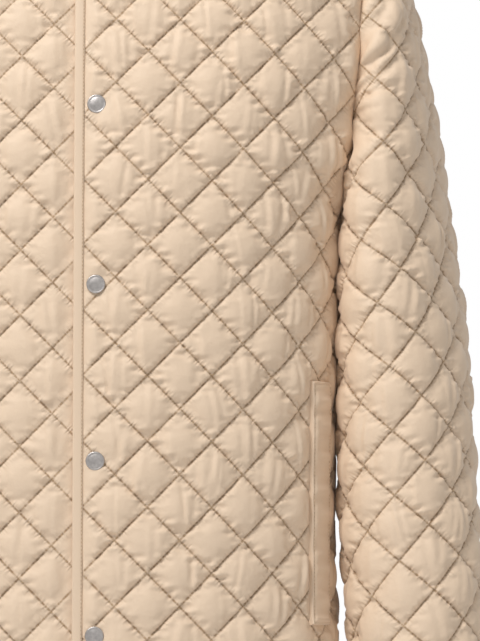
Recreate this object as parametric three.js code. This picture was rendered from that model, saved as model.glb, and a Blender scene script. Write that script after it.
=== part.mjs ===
// A quilted jacket, worn and fastened. Each piece is a flat cut of quilted cloth bent onto the body's form.
// Millimetres, +Z up. The front faces -Y, the wearer's left is +X, and z = 0 is level with the neck points.
// The wearer's left front laps over the right one.

import * as THREE from 'three';

// Cloth and quilting
const WALL = 2.0; // thickness of the quilted cloth along a stitch line
const PUFF = 5.0; // further height at the middle of a diamond
const PUFF_FADE = 16; // the puffs sink to nothing over this distance from a seam or an edge
const DIAMOND = { halfWidth: 25.6, halfHeight: 26.05 };
const SEAM_GAP = 0.3;
// Nearer than this to the underarms the cloth is pressed to a share of its wall, with a wider seam gap
const PRESSED = { share: 0.5, gap: 0.25, near: 30, far: 62 };
const FOLD_REACH = 12; // a seam's corner is made for the cloth this far to each side
const MITRE_LIMIT = 3.4; // longest corner of a folded seam, in wall thicknesses
const STEP = 26; // spacing of the points along straight seams
const FINE_STEP = 14; // spacing of the points along the armhole, the neck, the front edge and the side seam
// No corner or middle of a diamond lies nearer than this to an outline
const CLEAR = { loose: 3, pressed: 10 };
// Points of the flat cloth that are nearer than this to a point of the rim, or to another point, are one
const WELD = { rim: 0.4, other: 0.02 };
const CORNER_LIMIT = 0.8; // keeps a sharp corner of an outline from moving far inwards
const ON_RIM = 0.01;

// The opening at the front
const LAP_LIFT = 2.1; // the left front lies this far out and the right front this far in
const LAP_FLAT = 20; // the lift is full up to here from the centre front
const LAP_BLEND = 78; // and has gone by here
const EDGE = 11.5; // the cloth ends here, past the centre front
const LAP_PRESS = { from: 27, to: 52 }; // the right front's puffs are flat under the lap and full past this

// Levels and curves of the cut
const HEM_Z = -727;
const NECK = { y: -15, radius: 75 };
const ARMHOLE = { z: -165, halfHeight: 107, front: 60, back: 70, girth: 600 };
const UNDERARM_Z = ARMHOLE.z - ARMHOLE.halfHeight;
const CUFF_Z = -684;
const COLLAR_LAP = 1.3; // the collar's lift at the opening, over that of the fronts
const COLLAR = { height: 42, lean: THREE.MathUtils.degToRad(8) };
const PLUMB = { torso: -250, sleeve: -300 }; // below these levels a height in the cloth is its level
const LEVEL_STEP = 2; // spacing of the levels between which heights are measured above those
const SHOULDER_LINE = { x: 100, share: 0.85 }; // heights run along this x, or share of half the width
const ELBOW_V = -400;

// Sections of the torso from the top down: half width, depth ahead of and behind the side seam, squareness
const TORSO = [
  { z: -2, half: 75, front: 10, back: 16, square: 2.1 },
  { z: -20, half: 126, front: 42, back: 60, square: 2.15 },
  { z: -40, half: 182, front: 64, back: 82, square: 2.2 },
  { z: -56, half: 227.5, front: 76, back: 93, square: 2.25 },
  { z: -90, half: 237, front: 95, back: 106, square: 2.35 },
  { z: -130, half: 241, front: 103, back: 114, square: 2.4 },
  { z: -175, half: 238, front: 108, back: 119, square: 2.4 },
  { z: -211, half: 227, front: 111, back: 121, square: 2.4 },
  { z: -245, half: 214, front: 113, back: 121, square: 2.4 },
  { z: -272, half: 211.5, front: 114, back: 121, square: 2.4 },
  { z: -284, half: 202, front: 114.5, back: 120, square: 2.4 },
  { z: -300, half: 197.8, front: 114.8, back: 119.5, square: 2.4 },
  { z: -335, half: 196, front: 115, back: 119, square: 2.4 },
  { z: -450, half: 195, front: 116, back: 117, square: 2.4 },
  { z: -600, half: 192, front: 117, back: 118, square: 2.4 },
  { z: -740, half: 198, front: 120, back: 122, square: 2.4 },
];

// Sections of the left sleeve: innermost and outermost x, middle y, half depth,
// and turn about the vertical in degrees
const SLEEVE = [
  { z: -58, inner: 227, outer: 230, y: 0, deep: 2, turn: 0 },
  { z: -61, inner: 222, outer: 234.5, y: 2, deep: 20, turn: 0 },
  { z: -70, inner: 219, outer: 238.5, y: 2, deep: 36, turn: 0 },
  { z: -85, inner: 216, outer: 242, y: 2, deep: 49, turn: 1 },
  { z: -105, inner: 212, outer: 245.5, y: 2, deep: 59, turn: 2 },
  { z: -138, inner: 206, outer: 251, y: 3, deep: 68, turn: 5 },
  { z: -178, inner: 201, outer: 260, y: 3, deep: 74, turn: 9 },
  { z: -220, inner: 204, outer: 268.5, y: 3, deep: 77, turn: 10 },
  { z: -260, inner: 216, outer: 276, y: 3, deep: 78, turn: 8 },
  { z: -282, inner: 221, outer: 280, y: 3, deep: 78, turn: 8 },
  { z: -320, inner: 215.5, outer: 287, y: 1, deep: 77, turn: 12 },
  { z: -383, inner: 210.5, outer: 295.6, y: -3, deep: 74, turn: 19 },
  { z: -424, inner: 210, outer: 300, y: -6, deep: 70, turn: 21 },
  { z: -547, inner: 210, outer: 304, y: -18, deep: 60, turn: 20 },
  { z: -628, inner: 213, outer: 308, y: -28, deep: 53, turn: 16 },
  { z: -700, inner: 217, outer: 309, y: -36, deep: 47, turn: 10 },
];
// The turn from the outside to the armhole, from the shoulder (0) down to the underarm (-1)
const SEAM_ENDS = [
  { z: 0, front: 90, back: 90 },
  { z: -0.5, front: 108, back: 132 },
  { z: -0.75, front: 122, back: 146 },
  { z: -1, front: 180, back: 180 },
];
const SEAM_PULL = { round: THREE.MathUtils.degToRad(60), down: 12 }; // how far the seam shapes the sleeve
const SLEEVE_TILT = THREE.MathUtils.degToRad(6); // the cross grain rises to the outside
const THINNEST = 0.2; // least width of a turned section, as a share of its span

// Trims. A binding's section reaches from low to high through the cloth's wall.
const BINDING = { width: 6, low: -0.25, high: 2.3, chamfer: 0.8 };
const WELT = { from: 181, to: 208, top: -452, bottom: -649, thick: 2.4 };
const SNAP = { radius: 7.5, rim: 1.1, dome: 2.3, heights: [-94, -234.6, -379, -519, -656.4], sides: 28 };
const SNAP_BEAD = { in: 0.7, up: 0.6, innerEdge: 2.0, innerUp: 0.5 }; // the raised bead round a cap

const CLOTH = new THREE.MeshStandardMaterial({ color: 0xe3cdb2, roughness: 0.62, metalness: 0 });
const TRIM = new THREE.MeshStandardMaterial({ color: 0xdcc4a6, roughness: 0.66, metalness: 0 });
const PEWTER = new THREE.MeshStandardMaterial({ color: 0x9a9790, roughness: 0.4, metalness: 0.9 });

const RING_STEPS = 192;
const NEAR = 0.5; // half span of the differences that give a surface its tangents

const jacket = new THREE.Group();

// A smooth curve through one column of a table, without overshoot
function columnCurve(rows, key) {
  const depth = rows.map((row) => -row.z);
  const value = rows.map((row) => row[key]);
  const secant = depth.slice(1).map((d, i) => (value[i + 1] - value[i]) / (d - depth[i]));
  const slope = value.map((_, i) => {
    const before = secant[i - 1] ?? secant[i];
    const after = secant[i] ?? secant[i - 1];
    return before * after > 0 ? (2 * before * after) / (before + after) : 0;
  });
  return (z) => {
    const d = THREE.MathUtils.clamp(-z, depth[0], depth[depth.length - 1]);
    const i = Math.max(0, depth.findLastIndex((start, k) => start <= d && k < depth.length - 1));
    const span = depth[i + 1] - depth[i];
    const t = (d - depth[i]) / span;
    const rise = t * t * (3 - 2 * t);
    const leave = t * (1 - t) * (1 - t) * span;
    const arrive = t * t * (t - 1) * span;
    return value[i] * (1 - rise) + value[i + 1] * rise + slope[i] * leave + slope[i + 1] * arrive;
  };
}

function columns(rows) {
  const keys = Object.keys(rows[0]).filter((key) => key !== 'z');
  return Object.fromEntries(keys.map((key) => [key, columnCurve(rows, key)]));
}

const torso = columns(TORSO);
const arm = columns(SLEEVE);
const seamEnds = columns(SEAM_ENDS);

// Distance along a line of points, and the point at a given distance
function withLengths(points) {
  const lengths = [0];
  for (let i = 1; i < points.length; i++) {
    lengths.push(lengths[i - 1] + points[i].distanceTo(points[i - 1]));
  }
  return { points, lengths };
}

function pointAlong({ points, lengths }, distance) {
  const last = lengths.length - 1;
  let i = 0;
  let step = 1 << 30;
  while (step > 0) {
    if (i + step < last && lengths[i + step] <= distance) i += step;
    step >>= 1;
  }
  const t = (distance - lengths[i]) / (lengths[i + 1] - lengths[i]);
  return points[i].clone().lerp(points[i + 1], t);
}

// Depth of the torso's front or back at a given x
function torsoDepth(x, z, face) {
  const share = Math.min(1, Math.abs(x) / torso.half(z));
  const square = torso.square(z);
  return torso[face](z) * Math.pow(1 - Math.pow(share, square), 1 / square);
}

// The wearer's left half of a level section, from the centre front round to the centre back
function torsoRing(z) {
  const half = torso.half(z);
  const power = 2 / torso.square(z);
  const points = [];
  for (let i = 0; i <= RING_STEPS; i++) {
    const angle = (Math.PI * i) / RING_STEPS;
    const along = Math.cos(angle);
    const depth = along > 0 ? torso.front(z) : torso.back(z);
    const x = half * Math.pow(Math.abs(Math.sin(angle)), power);
    points.push(new THREE.Vector3(x, -Math.sign(along) * depth * Math.pow(Math.abs(along), power), z));
  }
  const ring = withLengths(points);
  ring.side = ring.lengths[RING_STEPS / 2];
  ring.total = ring.lengths[RING_STEPS];
  return ring;
}

// A point of the left sleeve's free section, by angle from the outside towards the back
function sleeveSection(z, angle) {
  const turn = THREE.MathUtils.degToRad(arm.turn(z));
  const half = (arm.outer(z) - arm.inner(z)) / 2;
  const middle = (arm.outer(z) + arm.inner(z)) / 2;
  const lean = arm.deep(z) * Math.sin(turn);
  const wide = Math.sqrt(Math.max(half ** 2 - lean ** 2, (THINNEST * half) ** 2)) / Math.cos(turn);
  const across = wide * Math.cos(angle);
  const deep = arm.deep(z) * Math.sin(angle);
  const x = across * Math.cos(turn) + deep * Math.sin(turn);
  const y = deep * Math.cos(turn) - across * Math.sin(turn);
  return new THREE.Vector3(middle + x, arm.y(z) + y, z + x * Math.tan(SLEEVE_TILT));
}

// A section of the left sleeve from its front end round the outside to its back end.
// Above the underarm the ends lie on the armhole. Below it they meet, and the pull of the seam fades.
function sleeveRing(z) {
  const share = armholeShare(z);
  const pull = THREE.MathUtils.smoothstep(z, UNDERARM_Z - SEAM_PULL.down, UNDERARM_Z);
  const half = RING_STEPS / 2;
  const points = new Array(RING_STEPS + 1);
  for (const [face, side] of [['front', -1], ['back', 1]]) {
    const end = side * THREE.MathUtils.degToRad(seamEnds[face](-share));
    const move = armholePoint(share * Math.PI, face).sub(sleeveSection(z, end)).multiplyScalar(pull);
    for (let i = 0; i <= half; i++) {
      const angle = (end * i) / half;
      const reach = THREE.MathUtils.smoothstep(Math.abs(angle - end), 0, SEAM_PULL.round);
      points[half + side * i] = sleeveSection(z, angle).addScaledVector(move, 1 - reach);
    }
  }
  const ring = withLengths(points);
  ring.outside = ring.lengths[half];
  ring.total = ring.lengths[RING_STEPS];
  return ring;
}

// A table of cloth heights v against levels z, which are equal below a start level
function heightTable(top, start, lengthOf) {
  const levels = [start];
  const heights = [start];
  while (levels[levels.length - 1] < top) {
    const z = levels[levels.length - 1];
    const next = Math.min(z + LEVEL_STEP, top);
    levels.push(next);
    heights.push(heights[heights.length - 1] + lengthOf(z, next));
  }
  const read = (from, to) => (value) => {
    if (value <= start) return value;
    const i = Math.max(1, from.findIndex((entry) => entry >= value));
    const j = value > from[from.length - 1] ? from.length - 1 : i;
    return to[j - 1] + ((value - from[j - 1]) * (to[j] - to[j - 1])) / (from[j] - from[j - 1]);
  };
  return { heightAt: read(levels, heights), levelAt: read(heights, levels) };
}

const torsoHeights = heightTable(TORSO[0].z, PLUMB.torso, (z, next) => {
  const x = Math.min(SHOULDER_LINE.x, SHOULDER_LINE.share * torso.half(next));
  return Math.hypot(next - z, torsoDepth(x, next, 'front') - torsoDepth(x, z, 'front'));
});
const sleeveHeights = heightTable(SLEEVE[0].z, PLUMB.sleeve, (z, next) => {
  return Math.hypot(next - z, arm.outer(next) - arm.outer(z));
});

// Place, normal and tangents of a surface at a point of the flat cloth
function frameAt(surface, u, v) {
  const du = surface(u + NEAR, v).sub(surface(u - NEAR, v)).divideScalar(2 * NEAR);
  const dv = surface(u, v + NEAR).sub(surface(u, v - NEAR)).divideScalar(2 * NEAR);
  return { p: surface(u, v), n: du.clone().cross(dv).normalize(), du, dv };
}

function lapLift(u) {
  return LAP_LIFT * (1 - THREE.MathUtils.smoothstep(u, LAP_FLAT, LAP_BLEND));
}

// The two fronts measure u from the centre front, towards the wearer's left
function frontSurface(side) {
  return (u, v) => {
    const z = torsoHeights.levelAt(v);
    const p = pointAlong(torsoRing(z), Math.abs(u));
    const ahead = lapLift(side * u) * side;
    return new THREE.Vector3(Math.sign(u) * p.x, p.y - ahead, z);
  };
}

// The back measures u from the centre back, towards the wearer's right
function backSurface(u, v) {
  const z = torsoHeights.levelAt(v);
  const ring = torsoRing(z);
  const p = pointAlong(ring, ring.total - Math.abs(u));
  return new THREE.Vector3(-Math.sign(u) * p.x, p.y, z);
}

// The left sleeve measures u from its outside, towards the back
function sleeveSurface(u, v) {
  const ring = sleeveRing(sleeveHeights.levelAt(v));
  return pointAlong(ring, ring.outside + u);
}

// The neck seam: a circle in plan, laid on the torso. The angle runs from the front to the wearer's left.
function neckPoint(angle) {
  const x = NECK.radius * Math.sin(angle);
  const y = NECK.y - NECK.radius * Math.cos(angle);
  const face = y < 0 ? 'front' : 'back';
  let low = ARMHOLE.z;
  let high = TORSO[0].z;
  for (let halving = 0; halving < 40; halving++) {
    const z = (low + high) / 2;
    const outside = Math.abs(x) > torso.half(z) || Math.abs(y) > torsoDepth(x, z, face);
    if (outside) high = z;
    else low = z;
  }
  return new THREE.Vector3(x, y, low);
}

// The armhole seam: an oval seen from the side, laid on the torso. The angle runs from the shoulder down.
function armholePoint(angle, face) {
  const y = (face === 'front' ? -ARMHOLE.front : ARMHOLE.back) * Math.sin(angle);
  const z = ARMHOLE.z + ARMHOLE.halfHeight * Math.cos(angle);
  const square = torso.square(z);
  const share = Math.pow(Math.abs(y) / torso[face](z), square);
  return new THREE.Vector3(torso.half(z) * Math.pow(1 - share, 1 / square), y, z);
}

// How far down the armhole a level lies, as a share of the half turn from the shoulder to the underarm
function armholeShare(z) {
  return Math.acos(THREE.MathUtils.clamp((z - ARMHOLE.z) / ARMHOLE.halfHeight, -1, 1)) / Math.PI;
}

// Where a point of the left half of the torso lies on its level section, from the centre front
function torsoGirthTo(point) {
  const ring = torsoRing(point.z);
  const angleTo = (p, face) => {
    const share = Math.min(1, Math.abs(p.x) / torso.half(point.z));
    const quarter = Math.asin(Math.pow(share, torso.square(point.z) / 2));
    return face === 'front' ? quarter : Math.PI - quarter;
  };
  const place = (angleTo(point, point.y <= 0 ? 'front' : 'back') / Math.PI) * RING_STEPS;
  const i = Math.min(RING_STEPS - 1, Math.floor(place));
  return ring.lengths[i] + (place - i) * (ring.lengths[i + 1] - ring.lengths[i]);
}

// Evenly spaced values from one end to the other, both ends in
function spread(from, to, step) {
  const count = Math.max(1, Math.round(Math.abs(to - from) / step));
  return Array.from({ length: count + 1 }, (_, i) => from + ((to - from) * i) / count);
}

// The direction and length that the two walls at a folded seam share. The fold is the sum of the
// directions in which the two cloths leave the seam, which still holds where their normals cancel.
function mitre(first, second, fold = new THREE.Vector3()) {
  const sum = first.clone().add(second);
  const reach = Math.min(2 / Math.max(sum.length(), 1e-6), MITRE_LIMIT);
  return sum.add(fold).normalize().multiplyScalar(reach);
}

// Twice the area of a triangle of the flat cloth, positive if its corners run anticlockwise
function cross(a, b, c) {
  return (b.u - a.u) * (c.v - a.v) - (b.v - a.v) * (c.u - a.u);
}

function nearestOnOutline(outline, point) {
  let best = { gap: Infinity };
  outline.forEach((a, i) => {
    const b = outline[(i + 1) % outline.length];
    const span = (b.u - a.u) ** 2 + (b.v - a.v) ** 2;
    const along = ((point.u - a.u) * (b.u - a.u) + (point.v - a.v) * (b.v - a.v)) / span;
    const t = THREE.MathUtils.clamp(along, 0, 1);
    const gap = Math.hypot(point.u - a.u - t * (b.u - a.u), point.v - a.v - t * (b.v - a.v));
    if (gap < best.gap) best = { gap, i, t };
  });
  return best;
}

function isInside(outline, point) {
  let inside = false;
  outline.forEach((a, i) => {
    const b = outline[(i + 1) % outline.length];
    const crosses = a.v > point.v !== b.v > point.v;
    if (crosses && point.u < a.u + ((point.v - a.v) * (b.u - a.u)) / (b.v - a.v)) inside = !inside;
  });
  return inside;
}

// What is left of an outline inside one triangle
function clipToTriangle(outline, triangle) {
  let polygon = outline;
  for (let k = 0; k < 3; k++) {
    const a = triangle[k];
    const b = triangle[(k + 1) % 3];
    const kept = [];
    polygon.forEach((p, i) => {
      const q = polygon[(i + 1) % polygon.length];
      const here = cross(a, b, p);
      const there = cross(a, b, q);
      if (here >= 0) kept.push(p);
      if (here * there < 0) {
        const t = here / (here - there);
        kept.push({ u: p.u + t * (q.u - p.u), v: p.v + t * (q.v - p.v) });
      }
    });
    polygon = kept;
  }
  return polygon;
}

function smallestAngle(a, b, c) {
  const corner = (p, q, r) => {
    const first = Math.atan2(q.v - p.v, q.u - p.u);
    const second = Math.atan2(r.v - p.v, r.u - p.u);
    return Math.abs(Math.atan2(Math.sin(second - first), Math.cos(second - first)));
  };
  return Math.min(corner(a, b, c), corner(b, c, a), corner(c, a, b));
}

// Triangles of a small polygon, best shaped ear first, with every vertex kept
function earTriangles(polygon) {
  const rest = [...polygon];
  const triangles = [];
  while (rest.length > 2) {
    let best = { angle: 1e-5, at: -1 };
    rest.forEach((b, i) => {
      const a = rest[(i + rest.length - 1) % rest.length];
      const c = rest[(i + 1) % rest.length];
      if (cross(a, b, c) <= 0) return;
      const holds = (p) => cross(a, b, p) >= 0 && cross(b, c, p) >= 0 && cross(c, a, p) >= 0;
      if (rest.some((p) => p !== a && p !== b && p !== c && holds(p))) return;
      const angle = smallestAngle(a, b, c);
      if (angle > best.angle) best = { angle, at: i, ear: [a, b, c] };
    });
    if (best.at < 0) break;
    triangles.push(best.ear);
    rest.splice(best.at, 1);
  }
  return triangles;
}

// The quilting of one piece: stitched corners and raised middles, moved clear of the piece's outline
function quiltLattice(origin, outline, surface) {
  const nodes = new Map();
  const { halfWidth, halfHeight } = DIAMOND;
  const node = (i, j) => {
    const key = `${i},${j}`;
    if (!nodes.has(key)) {
      const point = { u: origin.u + i * halfWidth, v: origin.v + j * halfHeight, raised: (i + j) % 2 !== 0 };
      const near = nearestOnOutline(outline, point);
      const clear = THREE.MathUtils.lerp(CLEAR.pressed, CLEAR.loose, looseness(surface(point.u, point.v)));
      if (near.gap < clear) {
        const a = outline[near.i];
        const b = outline[(near.i + 1) % outline.length];
        const out = new THREE.Vector2(b.v - a.v, a.u - b.u).normalize();
        const reach = (clear - near.gap) * (isInside(outline, point) ? -1 : 1);
        point.u += out.x * reach;
        point.v += out.y * reach;
      }
      nodes.set(key, point);
    }
    return nodes.get(key);
  };
  const us = outline.map((p) => (p.u - origin.u) / halfWidth);
  const vs = outline.map((p) => (p.v - origin.v) / halfHeight);
  const triangles = [];
  for (let i = Math.floor(Math.min(...us)) - 1; i <= Math.max(...us) + 1; i++) {
    for (let j = Math.floor(Math.min(...vs)) - 1; j <= Math.max(...vs) + 1; j++) {
      if ((i + j) % 2 === 0) continue;
      const corners = [node(i + 1, j), node(i, j + 1), node(i - 1, j), node(i, j - 1)];
      corners.forEach((corner, k) => triangles.push([corner, corners[(k + 1) % 4], node(i, j)]));
    }
  }
  return triangles;
}

// The quilting cut by an outline: flat triangles whose vertices are shared
function cutQuilt(triangles, outline) {
  const vertices = outline.map((point) => ({ ...point, rim: true }));
  const exact = new Map(outline.map((point, i) => [point, vertices[i]]));
  const cellReach = 1.1 * DIAMOND.halfHeight;
  const vertexAt = (point) => {
    if (!exact.has(point)) {
      const gapTo = (other) => Math.hypot(other.u - point.u, other.v - point.v);
      let vertex = vertices.find((other) => gapTo(other) < (other.rim ? WELD.rim : WELD.other));
      if (!vertex) {
        vertex = { ...point };
        vertices.push(vertex);
      }
      exact.set(point, vertex);
    }
    return exact.get(point);
  };
  const faces = [];
  for (const cell of triangles) {
    const middle = {
      u: (cell[0].u + cell[1].u + cell[2].u) / 3,
      v: (cell[0].v + cell[1].v + cell[2].v) / 3,
    };
    const farFromRim = nearestOnOutline(outline, middle).gap > cellReach;
    if (farFromRim && !isInside(outline, middle)) continue;
    const clipped = farFromRim ? cell : clipToTriangle(outline, cell);
    const corners = clipped.map((point) => {
      const isSame = (corner) => Math.hypot(corner.u - point.u, corner.v - point.v) < WELD.other;
      return vertexAt(cell.find(isSame) ?? point);
    });
    const polygon = corners.filter((corner, i) => corner !== corners[(i + 1) % corners.length]);
    faces.push(...earTriangles(polygon));
  }
  return { vertices, faces };
}

// Edges with a face on one side only, in the faces' direction
function rimOf(faces) {
  const edges = new Map();
  const key = (a, b) => `${a}-${b}`;
  faces.forEach(([a, b, c]) => [[a, b], [b, c], [c, a]].forEach(([p, q]) => edges.set(key(p, q), [p, q])));
  return [...edges.values()].filter(([p, q]) => !edges.has(key(q, p)));
}

// A closed wall from the flat triangles, given each vertex's inner and outer place
function wallGeometry({ vertices, faces }, inner, outer) {
  const index = new Map(vertices.map((vertex, i) => [vertex, i]));
  const count = vertices.length;
  const flat = faces.map((face) => face.map((vertex) => index.get(vertex)));
  const indices = [];
  flat.forEach(([a, b, c]) => indices.push(a, b, c, c + count, b + count, a + count));
  rimOf(flat).forEach(([p, q]) => indices.push(q, p, p + count, q, p + count, q + count));
  const positions = [...vertices.map(outer), ...vertices.map(inner)].flatMap((p) => p.toArray());
  const geometry = new THREE.BufferGeometry();
  geometry.setAttribute('position', new THREE.Float32BufferAttribute(positions, 3));
  geometry.setIndex(indices);
  return geometry;
}

// Gives every point of an outline its place in space, half a seam gap inside the seam or edge
function placeOutline(outline, surface) {
  const inset = (i) => {
    const [a, b, c] = [outline.at(i - 1), outline[i], outline[(i + 1) % outline.length]];
    const into = (p, q) => new THREE.Vector2(p.v - q.v, q.u - p.u).normalize();
    const sum = into(a, b).add(into(b, c));
    const length = Math.max(sum.length(), CORNER_LIMIT);
    return sum.normalize().multiplyScalar(SEAM_GAP / length);
  };
  return outline.map((point, i) => {
    const frame = frameAt(surface, point.u, point.v);
    const seat = (point.p ?? frame.p).clone();
    const move = inset(i);
    if (point.apart) seat.addScaledVector(point.apart, PRESSED.gap * (1 - looseness(seat)));
    seat.addScaledVector(frame.du, move.x).addScaledVector(frame.dv, move.y);
    return { ...point, p: seat, n: point.n ?? frame.n };
  });
}

// How free the cloth is at a place: 0 at the underarms, 1 away from them
function looseness(p) {
  const gap = Math.hypot(Math.abs(p.x) - torso.half(UNDERARM_Z), p.y, p.z - UNDERARM_Z);
  return THREE.MathUtils.smoothstep(gap, PRESSED.near, PRESSED.far);
}

// One quilted piece: its flat outline, its surface in space and the place of its quilting.
// Where the piece is pressed flat, fullness is less than 1.
function makePanel(name, surface, rawOutline, origin, fullness = () => 1) {
  const outline = placeOutline(rawOutline, surface);
  const triangles = quiltLattice(origin, outline, surface);
  const cut = cutQuilt(triangles, outline);
  const thickness = (vertex, p, gap) => {
    const loose = looseness(p);
    const full = THREE.MathUtils.smoothstep(gap, 0, PUFF_FADE) * fullness(vertex) * loose;
    const wall = WALL * (PRESSED.share + (1 - PRESSED.share) * loose);
    return wall + (vertex.raised ? PUFF * full : 0);
  };
  const seatOf = new Map();
  const seat = (vertex) => {
    if (seatOf.has(vertex)) return seatOf.get(vertex);
    const near = nearestOnOutline(outline, vertex);
    let found;
    if (near.gap < ON_RIM) {
      const a = outline[near.i];
      const b = outline[(near.i + 1) % outline.length];
      found = { p: a.p.clone().lerp(b.p, near.t), n: a.n.clone().lerp(b.n, near.t) };
    } else {
      found = frameAt(surface, vertex.u, vertex.v);
    }
    found.thick = thickness(vertex, found.p, near.gap);
    seatOf.set(vertex, found);
    return found;
  };
  const outer = (vertex) => seat(vertex).p.clone().addScaledVector(seat(vertex).n, seat(vertex).thick);
  const geometry = wallGeometry(cut, (vertex) => seat(vertex).p, outer);
  return { name, geometry, surface, outline, faces: cut.faces, outer, seat };
}

function addMesh(name, geometry, material) {
  const mesh = new THREE.Mesh(geometry, material);
  mesh.name = name;
  jacket.add(mesh);
  return mesh;
}

// A point of a panel's outer face, taken on the flat triangle that it lies in
function onFace(panel, point) {
  const face = panel.faces.find(([a, b, c]) => {
    return [cross(a, b, point), cross(b, c, point), cross(c, a, point)].every((side) => side >= -1e-6);
  });
  const [a, b, c] = face;
  const area = cross(a, b, c);
  const weights = [cross(b, c, point) / area, cross(c, a, point) / area, cross(a, b, point) / area];
  const p = new THREE.Vector3();
  const n = new THREE.Vector3();
  face.forEach((corner, i) => {
    p.addScaledVector(panel.outer(corner), weights[i]);
    n.addScaledVector(panel.seat(corner).n, weights[i]);
  });
  return { p, n: n.normalize() };
}

// A flat strip lying on a panel, made from the panel's own faces moved out
function makeOverlay(panel, outline, thick) {
  const cut = cutQuilt(panel.faces, outline);
  const place = (lift) => (vertex) => {
    const seat = onFace(panel, vertex);
    return seat.p.addScaledVector(seat.n, lift);
  };
  return wallGeometry(cut, place(SEAM_GAP), place(SEAM_GAP + thick));
}

// A narrow bound strip beyond an edge of the cloth, or a ring of it if closed
function makeBinding(path, closed = false) {
  const { width, low, high, chamfer } = BINDING;
  const section = [
    [0, low],
    [width - chamfer, low],
    [width, low + chamfer],
    [width, high - chamfer],
    [width - chamfer, high],
    [0, high],
  ];
  const positions = [];
  path.forEach(({ p, n, out }) => {
    const unit = n.clone().normalize();
    section.forEach(([across, up]) => {
      positions.push(...p.clone().addScaledVector(out, across).addScaledVector(unit, up).toArray());
    });
  });
  const sides = section.length;
  const indices = [];
  const rings = closed ? path.length : path.length - 1;
  for (let r = 0; r < rings; r++) {
    for (let k = 0; k < sides; k++) {
      const [a, b] = [r * sides + k, r * sides + ((k + 1) % sides)];
      const next = ((r + 1) % path.length) * sides;
      const [c, d] = [next + ((k + 1) % sides), next + k];
      indices.push(a, c, b, a, d, c);
    }
  }
  if (!closed) {
    const last = (path.length - 1) * sides;
    for (let k = 1; k < sides - 1; k++) indices.push(0, k, k + 1, last, last + k + 1, last + k);
  }
  const geometry = new THREE.BufferGeometry();
  geometry.setAttribute('position', new THREE.Float32BufferAttribute(positions, 3));
  geometry.setIndex(indices);
  return geometry;
}

// The places along an edge where a binding sits, from the edge's points in order.
// The flat direction leads out of the cloth.
function bindingPath(panel, points, direction) {
  return points.map((point) => {
    const frame = frameAt(panel.surface, point.u, point.v);
    const out = new THREE.Vector3()
      .addScaledVector(frame.du, direction.u)
      .addScaledVector(frame.dv, direction.v)
      .normalize();
    return { p: point.p.clone().addScaledVector(out, SEAM_GAP / 2), n: frame.n, out };
  });
}

// Moves a path's first and last places back, clear of the binding that crosses them
function shortened(path) {
  const back = (end, next) => {
    const step = next.p.clone().sub(end.p).setLength(4 * SEAM_GAP);
    return { ...end, p: end.p.clone().add(step) };
  };
  return [back(path[0], path[1]), ...path.slice(1, -1), back(path.at(-1), path.at(-2))];
}

// Lengthens a path past its first and last places by the width of the binding that it meets there
function lengthened(path) {
  const beyond = (end, next) => {
    const step = end.p.clone().sub(next.p).setLength(BINDING.width + SEAM_GAP);
    return { ...end, p: end.p.clone().add(step) };
  };
  return [beyond(path[0], path[1]), ...path, beyond(path.at(-1), path.at(-2))];
}

// Mirrored copy of a geometry, for the wearer's right side
function mirrored(geometry) {
  const copy = geometry.clone();
  copy.scale(-1, 1, 1);
  const index = copy.index.array;
  for (let i = 0; i < index.length; i += 3) [index[i], index[i + 1]] = [index[i + 1], index[i]];
  return copy;
}

// The seams' points

const frontLeftSurface = frontSurface(1);
const frontRightSurface = frontSurface(-1);
const neckEdgeAngle = Math.asin(EDGE / NECK.radius);
const neckSideAngle = Math.acos(NECK.y / NECK.radius);
const neckTop = torsoHeights.heightAt(neckPoint(neckSideAngle).z);
const angleStep = FINE_STEP / NECK.radius;

// A neck point in the flat cloth of a front; the side is 1 for the wearer's left
function frontNeck(angle, side) {
  const point = neckPoint(Math.abs(angle));
  const u = Math.sign(angle) * side * torsoGirthTo(point);
  return { u, v: torsoHeights.heightAt(point.z) };
}

function backNeck(angle) {
  const point = neckPoint(angle);
  const u = torsoGirthTo(point) - torsoRing(point.z).total;
  return { u, v: torsoHeights.heightAt(point.z) };
}

// The collar measures u along the neck seam from the centre front, round the wearer's left
const collarAngles = {
  left: spread(-neckEdgeAngle, neckSideAngle, angleStep),
  back: spread(neckSideAngle, 2 * Math.PI - neckSideAngle, angleStep),
  right: spread(2 * Math.PI - neckSideAngle, 2 * Math.PI + neckEdgeAngle, angleStep),
};

function collarSurface(u, v) {
  const angle = u / NECK.radius;
  const base = neckPoint(angle > Math.PI ? 2 * Math.PI - angle : Math.abs(angle));
  const fromLeft = COLLAR_LAP * lapLift(u);
  const fromRight = COLLAR_LAP * lapLift(2 * Math.PI * NECK.radius - u);
  const radius = NECK.radius + fromLeft - fromRight - v * Math.sin(COLLAR.lean);
  const z = base.z + v * Math.cos(COLLAR.lean);
  return new THREE.Vector3(radius * Math.sin(angle), NECK.y - radius * Math.cos(angle), z);
}

// The neck seam's points for all pieces that meet there, with the direction that their walls share
function neckSeam() {
  const seamPoint = (surface, flat, angle) => {
    const frame = frameAt(surface, flat.u, flat.v);
    const collarFrame = frameAt(collarSurface, angle * NECK.radius, 0);
    return { ...flat, p: frame.p, n: mitre(frame.n, collarFrame.n), angle };
  };
  return {
    left: collarAngles.left.map((angle) => seamPoint(frontLeftSurface, frontNeck(angle, 1), angle)),
    back: collarAngles.back.map((angle) => {
      const near = angle <= Math.PI ? angle : 2 * Math.PI - angle;
      const flat = backNeck(near);
      return seamPoint(backSurface, { u: angle <= Math.PI ? flat.u : -flat.u, v: flat.v }, angle);
    }),
    right: collarAngles.right.map((angle) => {
      return seamPoint(frontRightSurface, frontNeck(2 * Math.PI - angle, -1), angle);
    }),
  };
}

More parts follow.
